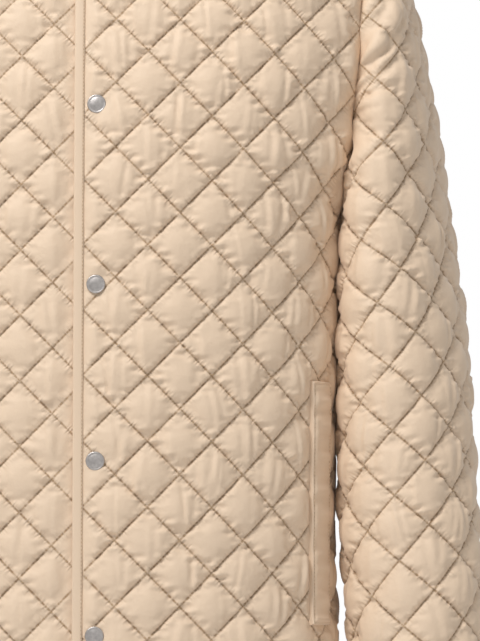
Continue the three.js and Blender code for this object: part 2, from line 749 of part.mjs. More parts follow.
const armholeAngles = spread(0, Math.PI, (FINE_STEP * 2 * Math.PI) / ARMHOLE.girth);
const TANGENT_TURN = 0.01; // half span, in radians, of the difference that gives the armhole its direction

// The unit vector in which a piece's cloth leaves a seam point, over the reach of its first fold.
// The inward vector of the flat cloth only says which side of the seam the piece is on.
function leaving(surface, flats, i, inward) {
  const before = flats[Math.max(i - 1, 0)];
  const after = flats[Math.min(i + 1, flats.length - 1)];
  const across = new THREE.Vector2(after.v - before.v, before.u - after.u).normalize();
  if (across.dot(inward) < 0) across.negate();
  const { u, v } = flats[i];
  const there = surface(u + FOLD_REACH * across.x, v + FOLD_REACH * across.y);
  return there.sub(surface(u, v)).normalize();
}

// The normal of the cloth that leaves a seam, on the same side as the surface's own normal
function normalBeside(along, leave, frame) {
  const normal = along.clone().cross(leave).normalize();
  return normal.dot(frame.n) < 0 ? normal.negate() : normal;
}

// The armhole seam's points on the wearer's left, from the shoulder to the underarm
function armholeSeam(face) {
  const surface = face === 'front' ? frontLeftSurface : backSurface;
  const points = armholeAngles.map((angle) => armholePoint(angle, face));
  const onTorso = points.map((p) => {
    const from = face === 'front' ? 0 : torsoRing(p.z).total;
    return { u: torsoGirthTo(p) - from, v: torsoHeights.heightAt(p.z) };
  });
  const onSleeve = points.map((p) => {
    const ring = sleeveRing(p.z);
    const u = face === 'front' ? -ring.outside : ring.total - ring.outside;
    return { u, v: sleeveHeights.heightAt(p.z) };
  });
  const middle = { u: onTorso[0].u, v: torsoHeights.heightAt(ARMHOLE.z) };
  const elbow = { u: 0, v: ELBOW_V };
  return points.map((p, i) => {
    const angle = armholeAngles[i];
    const ahead = armholePoint(angle + TANGENT_TURN, face);
    const along = ahead.sub(armholePoint(angle - TANGENT_TURN, face)).normalize();
    const fromHole = new THREE.Vector2(onTorso[i].u - middle.u, onTorso[i].v - middle.v);
    const toElbow = new THREE.Vector2(elbow.u - onSleeve[i].u, elbow.v - onSleeve[i].v);
    const torsoLeaves = leaving(surface, onTorso, i, fromHole);
    const sleeveLeaves = leaving(sleeveSurface, onSleeve, i, toElbow);
    const torsoFrame = frameAt(surface, onTorso[i].u, onTorso[i].v);
    const sleeveFrame = frameAt(sleeveSurface, onSleeve[i].u, onSleeve[i].v);
    const torsoNormal = normalBeside(along, torsoLeaves, torsoFrame);
    const sleeveNormal = normalBeside(along, sleeveLeaves, sleeveFrame);
    const fold = torsoLeaves.clone().add(sleeveLeaves);
    const apart = torsoLeaves.clone().sub(sleeveLeaves).normalize();
    const n = mitre(torsoNormal, sleeveNormal, fold);
    return { p, n, apart, torso: onTorso[i], sleeve: onSleeve[i] };
  });
}

const armhole = { front: armholeSeam('front'), back: armholeSeam('back') };
for (const end of [0, -1]) {
  const shared = armhole.front.at(end).n.clone().add(armhole.back.at(end).n).divideScalar(2);
  armhole.front.at(end).n = shared;
  armhole.back.at(end).n = shared;
}
const neck = neckSeam();

// The outlines of the cut, each anticlockwise from its lower left corner

const hemV = torsoHeights.heightAt(HEM_Z);
const underarmV = torsoHeights.heightAt(armhole.front.at(-1).p.z);
const shoulderV = torsoHeights.heightAt(armhole.front[0].p.z);

const sideSeam = spread(hemV, underarmV, FINE_STEP).map((v) => ({ v, z: torsoHeights.levelAt(v) }));
const shoulderSeam = spread(shoulderV, neckTop, STEP / 2).map((v) => ({ v, z: torsoHeights.levelAt(v) }));
const sideOf = ({ z }) => torsoRing(z).side;
const backSideOf = ({ z }) => torsoRing(z).total - torsoRing(z).side;

// Mirrors a seam point to the wearer's right
function toRight({ u, v, p, n, apart }) {
  const flip = (vector) => vector.clone().multiply(new THREE.Vector3(-1, 1, 1));
  return { u, v, p: flip(p), n: flip(n), apart: flip(apart) };
}

function frontOutline(side) {
  const edge = -side * EDGE;
  const neckPoints = side > 0 ? [...neck.left] : [...neck.right].reverse();
  const hole = armhole.front.map(({ torso: flat, p, n, apart }) => {
    return { u: side * flat.u, v: flat.v, p, n, apart };
  });
  const placedHole = side > 0 ? hole : hole.map(toRight);
  const outline = [
    ...spread(edge, side * sideOf(sideSeam[0]), STEP).map((u) => ({ u, v: hemV })),
    ...sideSeam.slice(1, -1).map((row) => ({ u: side * sideOf(row), v: row.v })),
    ...placedHole.reverse(),
    ...shoulderSeam.slice(1, -1).map((row) => ({ u: side * sideOf(row), v: row.v })),
    ...neckPoints.reverse(),
    ...spread(neckPoints.at(-1).v, hemV, FINE_STEP).slice(1, -1).map((v) => ({ u: edge, v })),
  ];
  return side > 0 ? outline : outline.reverse();
}

function backOutline() {
  const left = armhole.back.map(({ torso: flat, p, n, apart }) => ({ u: flat.u, v: flat.v, p, n, apart }));
  const right = left.map((point) => ({ ...toRight(point), u: -point.u }));
  const hemSide = backSideOf(sideSeam[0]);
  const seamTo = (rows, side) => rows.slice(1, -1).map((row) => ({ u: side * backSideOf(row), v: row.v }));
  return [
    ...spread(-hemSide, hemSide, STEP).map((u) => ({ u, v: hemV })),
    ...seamTo(sideSeam, 1),
    ...right.reverse(),
    ...seamTo(shoulderSeam, 1),
    ...[...neck.back].reverse(),
    ...seamTo(shoulderSeam, -1).reverse(),
    ...left,
    ...seamTo(sideSeam, -1).reverse(),
  ];
}

function sleeveOutline() {
  const cuffV = sleeveHeights.heightAt(CUFF_Z);
  const holeEnd = ({ sleeve: { u, v }, p, n, apart }) => ({ u, v, p, n, apart: apart.clone().negate() });
  const front = armhole.front.map(holeEnd);
  const back = armhole.back.map(holeEnd);
  const halfAt = (v) => {
    const ring = sleeveRing(sleeveHeights.levelAt(v));
    return { front: -ring.outside, back: ring.total - ring.outside };
  };
  const under = Math.min(front.at(-1).v, back.at(-1).v);
  const rows = spread(cuffV, under, STEP).slice(1, -1);
  return [
    ...spread(halfAt(cuffV).front, halfAt(cuffV).back, STEP).map((u) => ({ u, v: cuffV })),
    ...rows.map((v) => ({ u: halfAt(v).back, v })),
    ...back.slice(1).reverse(),
    ...front,
    ...rows.reverse().map((v) => ({ u: halfAt(v).front, v })),
  ];
}

function collarOutline() {
  const seam = [...neck.left, ...neck.back.slice(1), ...neck.right.slice(1)];
  const bottom = seam.map(({ p, n, angle }) => ({ u: angle * NECK.radius, v: 0, p, n }));
  const top = bottom.map(({ u }) => ({ u, v: COLLAR.height })).reverse();
  const middle = COLLAR.height / 2;
  return [...bottom, { u: bottom.at(-1).u, v: middle }, ...top, { u: bottom[0].u, v: middle }];
}

const frontLeft = makePanel('front_left', frontLeftSurface, frontOutline(1), { u: 15.2, v: -164.6 });
const pressedByLap = ({ u }) => THREE.MathUtils.smoothstep(-u, LAP_PRESS.from, LAP_PRESS.to);
const frontRight = makePanel(
  'front_right',
  frontRightSurface,
  frontOutline(-1),
  { u: -34.6, v: -168.6 },
  pressedByLap,
);
const back = makePanel('back', backSurface, backOutline(), { u: 0, v: -164.6 });
const sleeve = makePanel('sleeve_left', sleeveSurface, sleeveOutline(), { u: -84, v: -375 });
const collarEnd = 2 * Math.PI * NECK.radius;
const pressedAtEnd = ({ u }) => THREE.MathUtils.smoothstep(collarEnd - u, LAP_PRESS.from, LAP_PRESS.to);
const collar = makePanel(
  'collar',
  collarSurface,
  collarOutline(),
  { u: Math.PI * NECK.radius, v: 8 },
  pressedAtEnd,
);

for (const panel of [frontLeft, frontRight, back, sleeve, collar]) addMesh(panel.name, panel.geometry, CLOTH);
addMesh('sleeve_right', mirrored(sleeve.geometry), CLOTH);

// The bindings

const onLine = (panel, key, value) => panel.outline.filter((point) => Math.abs(point[key] - value) < 1e-6);
const ascending = (key) => (a, b) => a[key] - b[key];
const collarTop = onLine(collar, 'v', COLLAR.height).sort(ascending('u'));

// The strip down one front edge, from the collar's top to the hem
function frontBinding(front, side) {
  const out = { u: -side, v: 0 };
  const collarU = side > 0 ? collarTop[0].u : collarTop.at(-1).u;
  const collarPoints = onLine(collar, 'u', collarU).sort(ascending('v')).reverse();
  const frontPoints = onLine(front, 'u', -side * EDGE).sort(ascending('v')).reverse().slice(1);
  const onCollar = bindingPath(collar, collarPoints, out);
  const path = shortened([...onCollar, ...bindingPath(front, frontPoints, out)]);
  return makeBinding(side > 0 ? path : path.reverse());
}

// The strip along the hem, from the left front's edge round the back to the right front's edge
function hemBinding() {
  const down = { u: 0, v: -1 };
  const hemOf = (panel) => bindingPath(panel, onLine(panel, 'v', hemV).sort(ascending('u')), down);
  return makeBinding(lengthened([...hemOf(frontLeft), ...hemOf(back).slice(1, -1), ...hemOf(frontRight)]));
}

// The strip along the collar's top, over the ends of the front strips
function collarBinding() {
  const up = { u: 0, v: 1 };
  return makeBinding(lengthened(bindingPath(collar, [...collarTop].reverse(), up)));
}

// The strip round the left cuff
function cuffBinding() {
  const cuffV = sleeveHeights.heightAt(CUFF_Z);
  const points = onLine(sleeve, 'v', cuffV).sort(ascending('u')).slice(0, -1);
  return makeBinding(bindingPath(sleeve, points, { u: 0, v: -1 }), true);
}

addMesh('binding_front_left', frontBinding(frontLeft, 1), TRIM);
addMesh('binding_front_right', frontBinding(frontRight, -1), TRIM);
addMesh('binding_hem', hemBinding(), TRIM);
addMesh('binding_collar', collarBinding(), TRIM);
addMesh('binding_cuff_left', cuffBinding(), TRIM);
addMesh('binding_cuff_right', mirrored(cuffBinding()), TRIM);

// The pocket welts
for (const [name, panel, side] of [['welt_left', frontLeft, 1], ['welt_right', frontRight, -1]]) {
  const [low, high] = [side * WELT.from, side * WELT.to].sort((a, b) => a - b);
  const { bottom, top } = WELT;
  const corners = [{ u: low, v: bottom }, { u: high, v: bottom }, { u: high, v: top }, { u: low, v: top }];
  addMesh(name, makeOverlay(panel, corners, WELT.thick), TRIM);
}

// The snap caps, each seated on the highest point of the quilting under it
const capProfile = [
  [0, 0],
  [SNAP.radius, 0],
  [SNAP.radius, SNAP.rim],
  [SNAP.radius - SNAP_BEAD.in, SNAP.rim + SNAP_BEAD.up],
  [SNAP.radius - SNAP_BEAD.innerEdge, SNAP.rim + SNAP_BEAD.innerUp],
  [0, SNAP.dome],
];

// The place and direction in which a cap sits at one height of the centre front
function seatUnderCap(v) {
  const frame = frameAt(frontLeftSurface, 0, v);
  const heights = [];
  for (let turn = 0; turn < 2 * Math.PI; turn += Math.PI / 12) {
    for (const share of [0, 0.5, 1]) {
      const point = { u: share * SNAP.radius * Math.cos(turn), v: v + share * SNAP.radius * Math.sin(turn) };
      heights.push(onFace(frontLeft, point).p.sub(frame.p).dot(frame.n));
    }
  }
  return { p: frame.p.addScaledVector(frame.n, Math.max(...heights) + SEAM_GAP), n: frame.n };
}

SNAP.heights.forEach((z, i) => {
  const profile = capProfile.map(([x, y]) => new THREE.Vector2(x, y));
  const cap = new THREE.LatheGeometry(profile, SNAP.sides);
  const mesh = addMesh(`snap_${i + 1}`, cap, PEWTER);
  const seat = seatUnderCap(torsoHeights.heightAt(z));
  mesh.position.copy(seat.p);
  mesh.quaternion.setFromUnitVectors(new THREE.Vector3(0, 1, 0), seat.n);
});

export default jacket;
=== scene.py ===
"""The looks of a quilted jacket, worn and fastened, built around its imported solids.

The cloth is cut flat, quilted in diamonds and bent onto the form of the wearer. Sizes are in millimetres
until a mesh is made. The front faces -Y, the wearer's left is +X, and z = 0 is level with the neck points.
"""

import logging
import math
from dataclasses import dataclass, field
from enum import Enum

import bpy
import numpy as np
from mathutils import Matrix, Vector
from mathutils.geometry import delaunay_2d_cdt
from mathutils.kdtree import KDTree


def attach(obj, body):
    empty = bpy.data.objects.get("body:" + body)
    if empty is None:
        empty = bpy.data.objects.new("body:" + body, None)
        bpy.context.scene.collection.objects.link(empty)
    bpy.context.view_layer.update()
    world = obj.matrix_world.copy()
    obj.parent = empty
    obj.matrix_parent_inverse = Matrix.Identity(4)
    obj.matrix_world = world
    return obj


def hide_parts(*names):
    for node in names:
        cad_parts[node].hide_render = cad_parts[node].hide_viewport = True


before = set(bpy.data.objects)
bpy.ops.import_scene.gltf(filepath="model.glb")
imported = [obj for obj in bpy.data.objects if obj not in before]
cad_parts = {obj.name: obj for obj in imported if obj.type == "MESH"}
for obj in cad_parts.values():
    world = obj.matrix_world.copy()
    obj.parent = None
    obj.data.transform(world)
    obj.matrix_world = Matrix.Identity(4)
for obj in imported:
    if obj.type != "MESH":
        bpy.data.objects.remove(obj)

LOG = logging.getLogger("jacket")
METRES = 0.001
BODY = "root"
RING_STEPS = 192  # points round half of a section


class Side(Enum):
    """A side of the wearer, as the sign of its x."""

    LEFT = 1
    RIGHT = -1


class Face(Enum):
    """The part of the torso ahead of or behind the side seam."""

    FRONT = "front"
    BACK = "back"


# Numbers


def smoothstep(value: np.ndarray, low: float, high: float) -> np.ndarray:
    """Rises smoothly from 0 at low to 1 at high.

    Args:
        value: Where to read the rise.
        low: Start of the rise.
        high: End of the rise.

    Returns:
        The share of the rise at each value.
    """
    share = np.clip((np.asarray(value, float) - low) / (high - low), 0, 1)
    return share * share * (3 - 2 * share)


def bump(distance: np.ndarray, width: float) -> np.ndarray:
    """A rounded hill of height 1 over a distance, with the given half width."""
    return np.exp(-((distance / width) ** 2))


def hashed(seed: int, *keys: np.ndarray) -> np.ndarray:
    """Repeatable scattered numbers from 0 to 1.

    Args:
        seed: Tells one set of numbers from another.
        keys: Whole-numbered arrays of one shape.

    Returns:
        One number for each set of keys.
    """
    mixed = np.full(np.shape(keys[0]), seed * 7919 + 17, dtype=np.uint64)
    for key in keys:
        mixed = (mixed ^ np.asarray(key).astype(np.int64).astype(np.uint64)) * np.uint64(0x9E3779B97F4A7C15)
        mixed = mixed ^ (mixed >> np.uint64(29))
    return (mixed >> np.uint64(11)).astype(float) / float(1 << 53)


def ripple(seed: int, along: np.ndarray, line: np.ndarray) -> np.ndarray:
    """Smooth scattered waves along numbered lines.

    Args:
        seed: Tells one set of waves from another.
        along: Distance along the line, in wavelengths.
        line: Number of the line.

    Returns:
        Heights from -1 to 1.
    """
    cell = np.floor(along)
    part = along - cell
    ease = part * part * (3 - 2 * part)
    first, second = hashed(seed, cell, line), hashed(seed, cell + 1, line)
    return 2 * (first + (second - first) * ease) - 1


def rolling(seed: int, x: np.ndarray, y: np.ndarray) -> np.ndarray:
    """Smooth scattered hills over a plane.

    Args:
        seed: Tells one set of hills from another.
        x: Place along the first axis, in hills.
        y: Place along the second axis, in hills.

    Returns:
        Heights from -1 to 1.
    """
    row = np.floor(y)
    part = y - row
    ease = part * part * (3 - 2 * part)
    low, high = ripple(seed, x, row), ripple(seed, x, row + 1)
    return low + (high - low) * ease


def interpolated(value: np.ndarray, known: np.ndarray, result: np.ndarray) -> np.ndarray:
    """Reads a table between and beyond its entries.

    Args:
        value: What to look up.
        known: Rising entries of the table.
        result: What the table gives at each entry.

    Returns:
        The result for each value, carried on in a straight line past the table's ends.
    """
    value = np.asarray(value, float)
    index = np.clip(np.searchsorted(known, value) - 1, 0, len(known) - 2)
    share = (value - known[index]) / (known[index + 1] - known[index])
    return result[index] + share * (result[index + 1] - result[index])


def spread(start: float, end: float, step: float) -> np.ndarray:
    """Evenly spaced values from start to end, both in, about step apart."""
    return np.linspace(start, end, max(2, int(round(abs(end - start) / step)) + 1))


# The wearer's form


class LevelCurve:
    """A smooth curve through one column of a table of levels, without overshoot."""

    def __init__(self, levels: np.ndarray, values: np.ndarray) -> None:
        """Finds the curve's slopes.

        Args:
            levels: Falling z of the table's rows.
            values: The column's values.
        """
        self.depth = -levels
        self.value = values
        secant = np.diff(values) / np.diff(self.depth)
        before, after = np.append(secant[0], secant), np.append(secant, secant[-1])
        same_way = before * after > 0
        total = np.where(same_way, before + after, 1.0)
        self.slope = np.where(same_way, 2 * before * after / total, 0.0)

    def __call__(self, z: np.ndarray) -> np.ndarray:
        """Reads the curve.

        Args:
            z: Levels to read it at.

        Returns:
            The column's value at each level.
        """
        depth = np.clip(-np.asarray(z, float), self.depth[0], self.depth[-1])
        i = np.clip(np.searchsorted(self.depth, depth, side="right") - 1, 0, len(self.depth) - 2)
        span = self.depth[i + 1] - self.depth[i]
        t = (depth - self.depth[i]) / span
        rise = t * t * (3 - 2 * t)
        leave = t * (1 - t) ** 2 * span
        arrive = t * t * (t - 1) * span
        ends = self.value[i] * (1 - rise) + self.value[i + 1] * rise
        return ends + self.slope[i] * leave + self.slope[i + 1] * arrive


def curves_of(rows: tuple[tuple[float, ...], ...], names: tuple[str, ...]) -> dict[str, LevelCurve]:
    """Makes a curve of each column of a table.

    Args:
        rows: The table, with z first in each row.
        names: Names of the other columns.

    Returns:
        Each column's curve by its name.
    """
    table = np.array(rows, float)
    return {name: LevelCurve(table[:, 0], table[:, k + 1]) for k, name in enumerate(names)}


class ClothHeights:
    """Turns levels in space into heights in the flat cloth, which are equal below a start level."""

    def __init__(self, start: float, levels: np.ndarray, lengths: np.ndarray) -> None:
        """Keeps the table.

        Args:
            start: Below this a height is its level.
            levels: Rising levels from the start.
            lengths: Cloth between each level and the next.
        """
        self.start = start
        self.levels = levels
        self.heights = start + np.append(0.0, np.cumsum(lengths))

    def at_level(self, z: np.ndarray) -> np.ndarray:
        """The cloth's height at each level."""
        return np.where(np.asarray(z) <= self.start, z, interpolated(z, self.levels, self.heights))

    def level_of(self, v: np.ndarray) -> np.ndarray:
        """The level of each height of the cloth."""
        return np.where(np.asarray(v) <= self.start, v, interpolated(v, self.heights, self.levels))


def lengths_along(rings: np.ndarray) -> np.ndarray:
    """Distances along lines of points.

    Args:
        rings: Points in lines, as lines by points by 3.

    Returns:
        The distance of each point from its line's start.
    """
    steps = np.linalg.norm(np.diff(rings, axis=1), axis=2)
    return np.concatenate([np.zeros((len(rings), 1)), np.cumsum(steps, axis=1)], axis=1)


def read_rings(rings: np.ndarray, lengths: np.ndarray, along: np.ndarray) -> np.ndarray:
    """Points at given distances along lines of points.

    Args:
        rings: Points in lines.
        lengths: Each point's distance from its line's start.
        along: Distances to read, one row for each line.

    Returns:
        The points, as lines by distances by 3.
    """
    found = np.empty((*along.shape, 3))
    for i in range(len(rings)):
        for axis in range(3):
            found[i, :, axis] = np.interp(along[i], lengths[i], rings[i, :, axis])
    return found


@dataclass
class ArmholeCut:
    """The oval seam of a sleeve, seen from the side."""

    z: float = -165
    half_height: float = 107
    front: float = 60
    back: float = 70

    def underarm(self) -> float:
        """Level of the seam's lowest point."""
        return self.z - self.half_height

    def share(self, z: np.ndarray) -> np.ndarray:
        """How far down the seam a level lies, from 0 at the shoulder to 1 at the underarm."""
        return np.arccos(np.clip((z - self.z) / self.half_height, -1, 1)) / math.pi


@dataclass
class TorsoForm:
    """Level sections of the torso, with half width, depths ahead of and behind the side, and squareness."""

    armhole: ArmholeCut
    rows: tuple[tuple[float, ...], ...] = (
        (-2, 75, 10, 16, 2.1),
        (-20, 126, 42, 60, 2.15),
        (-40, 182, 64, 82, 2.2),
        (-56, 227.5, 76, 93, 2.25),
        (-90, 237, 95, 106, 2.35),
        (-130, 241, 103, 114, 2.4),
        (-175, 238, 108, 119, 2.4),
        (-211, 227, 111, 121, 2.4),
        (-245, 214, 113, 121, 2.4),
        (-272, 211.5, 114, 121, 2.4),
        (-284, 202.5, 114.5, 120, 2.4),
        (-300, 199, 114.8, 119.5, 2.4),
        (-335, 195, 115, 119, 2.4),
        (-450, 191.5, 116, 117, 2.4),
        (-600, 188.5, 117, 118, 2.4),
        (-740, 194.5, 120, 122, 2.4),
    )
    plumb: float = -250  # below this a height in the cloth is its level
    shoulder_x: float = 100  # heights above are measured at this x, or at a share of the half width
    shoulder_share: float = 0.85

    def __post_init__(self) -> None:
        """Makes the curves and the table of heights."""
        self.curves = curves_of(self.rows, ("half", "front", "back", "square"))
        levels = np.arange(self.plumb, self.rows[0][0] + 0.5, 2.0)
        x = np.minimum(self.shoulder_x, self.shoulder_share * self.curves["half"](levels[1:]))
        rise = self.depth(x, levels[1:], Face.FRONT) - self.depth(x, levels[:-1], Face.FRONT)
        self.heights = ClothHeights(self.plumb, levels, np.hypot(np.diff(levels), rise))

    def depth(self, x: np.ndarray, z: np.ndarray, face: Face) -> np.ndarray:
        """Depth of the front or back at a given x.

        Args:
            x: Distance from the middle.
            z: Level.
            face: Front or back.

        Returns:
            How far the cloth is ahead of or behind the side seam.
        """
        share = np.minimum(1, np.abs(x) / self.curves["half"](z))
        square = self.curves["square"](z)
        return self.curves[face.value](z) * (1 - share**square) ** (1 / square)

    def rings(self, z: np.ndarray) -> np.ndarray:
        """The wearer's left half of each section, from the centre front to the centre back.

        Args:
            z: Levels of the sections.

        Returns:
            The sections' points.
        """
        z = np.asarray(z, float)
        angle = np.pi * np.arange(RING_STEPS + 1) / RING_STEPS
        along = np.cos(angle)[None, :]
        power = (2 / self.curves["square"](z))[:, None]
        ahead, behind = self.curves["front"](z)[:, None], self.curves["back"](z)[:, None]
        x = self.curves["half"](z)[:, None] * np.abs(np.sin(angle))[None, :] ** power
        y = -np.sign(along) * np.where(along > 0, ahead, behind) * np.abs(along) ** power
        return np.stack([x, y, np.broadcast_to(z[:, None], x.shape)], axis=2)

    def girths(self, z: np.ndarray) -> tuple[np.ndarray, np.ndarray]:
        """Lengths of half sections from the centre front.

        Args:
            z: Levels of the sections.

        Returns:
            The length to the side seam and to the centre back.
        """
        lengths = lengths_along(self.rings(np.atleast_1d(z)))
        return lengths[:, RING_STEPS // 2], lengths[:, RING_STEPS]

    def girth_to(self, points: np.ndarray) -> np.ndarray:
        """Distance of points of the torso from the centre front, along their level sections."""
        z = points[:, 2]
        share = np.minimum(1, np.abs(points[:, 0]) / self.curves["half"](z))
        quarter = np.arcsin(share ** (self.curves["square"](z) / 2))
        place = np.where(points[:, 1] <= 0, quarter, np.pi - quarter) / np.pi * RING_STEPS
        lengths = lengths_along(self.rings(z))
        i = np.minimum(RING_STEPS - 1, np.floor(place).astype(int))
        row = np.arange(len(z))
        return lengths[row, i] + (place - i) * (lengths[row, i + 1] - lengths[row, i])

    def armhole_points(self, angle: np.ndarray, face: Face) -> np.ndarray:
        """Points of the left armhole seam.

        Args:
            angle: Turn from the shoulder down.
            face: Front or back half of the seam.

        Returns:
            The points in space.
        """
        cut = self.armhole
        y = (-cut.front if face is Face.FRONT else cut.back) * np.sin(angle)
        z = cut.z + cut.half_height * np.cos(angle)
        square = self.curves["square"](z)
        share = (np.abs(y) / self.curves[face.value](z)) ** square
        return np.stack([self.curves["half"](z) * (1 - share) ** (1 / square), y, z], axis=1)

    def clearance(self, points: np.ndarray) -> np.ndarray:
        """Distance of points beside the torso from its side, at their own depth."""
        z = points[:, 2]
        square = self.curves["square"](z)
        ahead, behind = self.curves["front"](z), self.curves["back"](z)
        share = np.minimum(1, np.abs(points[:, 1]) / np.where(points[:, 1] < 0, ahead, behind)) ** square
        return np.abs(points[:, 0]) - self.curves["half"](z) * (1 - share) ** (1 / square)

    def looseness(self, points: np.ndarray, near: float = 26, far: float = 58) -> np.ndarray:
        """How free the cloth is at each point: 0 at the underarms, where it is pressed, and 1 away from them."""
        side = self.curves["half"](self.armhole.underarm())
        gap = np.sqrt(
            (np.abs(points[:, 0]) - side) ** 2 + points[:, 1] ** 2 + (points[:, 2] - self.armhole.underarm()) ** 2
        )
        return smoothstep(gap, near, far)


@dataclass
class SleeveForm:
    """Sections of the left sleeve, whose upper ends lie on the armhole seam."""

    torso: TorsoForm
    rows: tuple[tuple[float, ...], ...] = (
        (-58, 227, 230, 0, 2, 0),
        (-61, 222, 234.5, 2, 20, 0),
        (-70, 219, 238.5, 2, 36, 0),
        (-85, 216, 242, 2, 49, 1),
        (-105, 212, 245.5, 2, 59, 2),
        (-138, 206, 255.5, 3, 68, 5),
        (-178, 201, 264.5, 3, 74, 9),
        (-220, 202, 272.5, 3, 77, 12),
        (-260, 203, 279.5, 3, 78, 14),
        (-282, 202.4, 282, 3, 78, 16),
        (-320, 201, 287, 1, 77, 18),
        (-383, 198.3, 295, -3, 74, 21),
        (-424, 197.8, 299, -6, 70, 22),
        (-547, 199.6, 304, -18, 60, 20),
        (-628, 205, 308, -28, 53, 16),
        (-700, 210, 309, -36, 47, 10),
    )
    seam_ends: tuple[tuple[float, ...], ...] = ((0, 90, 90), (-0.5, 108, 132), (-0.75, 122, 146), (-1, 180, 180))
    plumb: float = -300
    tilt: float = math.radians(6)
    thinnest: float = 0.2
    pull_round: float = math.radians(60)
    pull_down: float = 12

    def __post_init__(self) -> None:
        """Makes the curves and the table of heights."""
        self.curves = curves_of(self.rows, ("inner", "outer", "y", "deep", "turn"))
        self.ends = curves_of(self.seam_ends, ("front", "back"))
        levels = np.arange(self.plumb, self.rows[0][0] + 0.5, 2.0)
        self.heights = ClothHeights(
            self.plumb, levels, np.hypot(np.diff(levels), np.diff(self.curves["outer"](levels)))
        )

    def section(self, z: np.ndarray, angle: np.ndarray) -> np.ndarray:
        """Points of the free section.

        Args:
            z: Levels, as a column.
            angle: Turns from the outside towards the back, one row for each level.

        Returns:
            The points, as levels by turns by 3.
        """
        inner, outer = self.curves["inner"](z), self.curves["outer"](z)
        deep, turn = self.curves["deep"](z), np.radians(self.curves["turn"](z))
        half, middle = (outer - inner) / 2, (outer + inner) / 2
        lean = deep * np.sin(turn)
        wide = np.sqrt(np.maximum(half**2 - lean**2, (self.thinnest * half) ** 2)) / np.cos(turn)
        across, through = wide * np.cos(angle), deep * np.sin(angle)
        x = across * np.cos(turn) + through * np.sin(turn)
        y = through * np.cos(turn) - across * np.sin(turn)
        return np.stack([middle + x, self.curves["y"](z) + y, z + x * math.tan(self.tilt)], axis=2)

    def rings(self, z: np.ndarray) -> np.ndarray:
        """Sections from the front end of the seam round the outside to its back end.

        Args:
            z: Levels of the sections.

        Returns:
            The sections' points.
        """
        z = np.asarray(z, float)
        cut = self.torso.armhole
        share = cut.share(z)
        pull = smoothstep(z, cut.underarm() - self.pull_down, cut.underarm())[:, None, None]
        half = RING_STEPS // 2
        points = np.empty((len(z), RING_STEPS + 1, 3))
        for face, sign in ((Face.FRONT, -1), (Face.BACK, 1)):
            end = sign * np.radians(self.ends[face.value](-share))[:, None]
            free_end = self.section(z[:, None], end)
            seam = self.torso.armhole_points(share * np.pi, face)[:, None, :]
            angle = end * np.arange(half + 1)[None, :] / half
            reach = smoothstep(np.abs(angle - end), 0, self.pull_round)[:, :, None]
            moved = self.section(z[:, None], angle) + (seam - free_end) * pull * (1 - reach)
            points[:, half + sign * np.arange(half + 1)] = moved
        return points


# The flat cloth


class ClothGrid:
    """Places of a cloth in space, kept on a fine grid of its flat coordinates."""

    def __init__(self, u: np.ndarray, v: np.ndarray, points: np.ndarray) -> None:
        """Keeps the grid.

        Args:
            u: Even coordinates across the cloth.
            v: Even coordinates up the cloth.
            points: Places, as v by u by 3.
        """
        self.u0, self.du = u[0], u[1] - u[0]
        self.v0, self.dv = v[0], v[1] - v[0]
        self.points = points

    def places(self, flat: np.ndarray) -> np.ndarray:
        """Places in space of points of the flat cloth."""
        rows, columns = self.points.shape[:2]
        a = np.clip((flat[:, 0] - self.u0) / self.du, 0, columns - 1.001)
        b = np.clip((flat[:, 1] - self.v0) / self.dv, 0, rows - 1.001)
        i, j = np.floor(a).astype(int), np.floor(b).astype(int)
        s, t = (a - i)[:, None], (b - j)[:, None]
        low = self.points[j, i] * (1 - s) + self.points[j, i + 1] * s
        high = self.points[j + 1, i] * (1 - s) + self.points[j + 1, i + 1] * s
        return low * (1 - t) + high * t

    def frames(self, flat: np.ndarray, reach: float = 2.0) -> tuple[np.ndarray, ...]:
        """Places, outward normals and tangents at points of the flat cloth.

        Args:
            flat: The points.
            reach: Half span of the differences that give the tangents.

        Returns:
            Places, unit normals, and unit tangents along u and v.
        """
        across, up = np.array([reach, 0.0]), np.array([0.0, reach])
        du = self.places(flat + across) - self.places(flat - across)
        dv = self.places(flat + up) - self.places(flat - up)
        normal = np.cross(du, dv)
        return self.places(flat), unit(normal), unit(du), unit(dv)


def unit(vectors: np.ndarray) -> np.ndarray:
    """The vectors at length 1."""
    return vectors / np.maximum(np.linalg.norm(vectors, axis=-1, keepdims=True), 1e-9)


@dataclass
class Outline:
    """The edge of one cut piece, anticlockwise, with places in space where a seam fixes them."""

    flat: np.ndarray
    place: np.ndarray

    @classmethod
    def of_runs(cls, *runs: tuple[np.ndarray, np.ndarray | None]) -> "Outline":
        """Joins runs of points end to end, each without its last point.

        Args:
            runs: Flat points and their places, or None where the cloth's own surface gives them.

        Returns:
            The whole outline.
        """
        flat = [points[:-1] for points, _ in runs]
        place = [np.full((len(p) - 1, 3), np.nan) if q is None else q[:-1] for p, q in runs]
        return cls(np.concatenate(flat), np.concatenate(place))

    def holds(self, points: np.ndarray) -> np.ndarray:
        """Whether each point of the flat cloth is inside."""
        inside = np.zeros(len(points), bool)
        a, b = self.flat, np.roll(self.flat, -1, axis=0)
        for (au, av), (bu, bv) in zip(a, b):
            if av == bv:
                continue
            crosses = (av > points[:, 1]) != (bv > points[:, 1])
            inside ^= crosses & (points[:, 0] < au + (points[:, 1] - av) * (bu - au) / (bv - av))
        return inside

    def gaps(self, points: np.ndarray) -> np.ndarray:
        """Distance of each point of the flat cloth from the outline's own points."""
        tree = KDTree(len(self.flat))
        for k, (u, v) in enumerate(self.flat):
            tree.insert((u, v, 0), k)
        tree.balance()
        return np.array([tree.find((u, v, 0))[2] for u, v in points])

    def mirrored(self) -> "Outline":
        """The same cut for the wearer's other side."""
        flip, flip_place = np.array([-1, 1]), np.array([-1, 1, 1])
        return Outline((self.flat * flip)[::-1], (self.place * flip_place)[::-1])


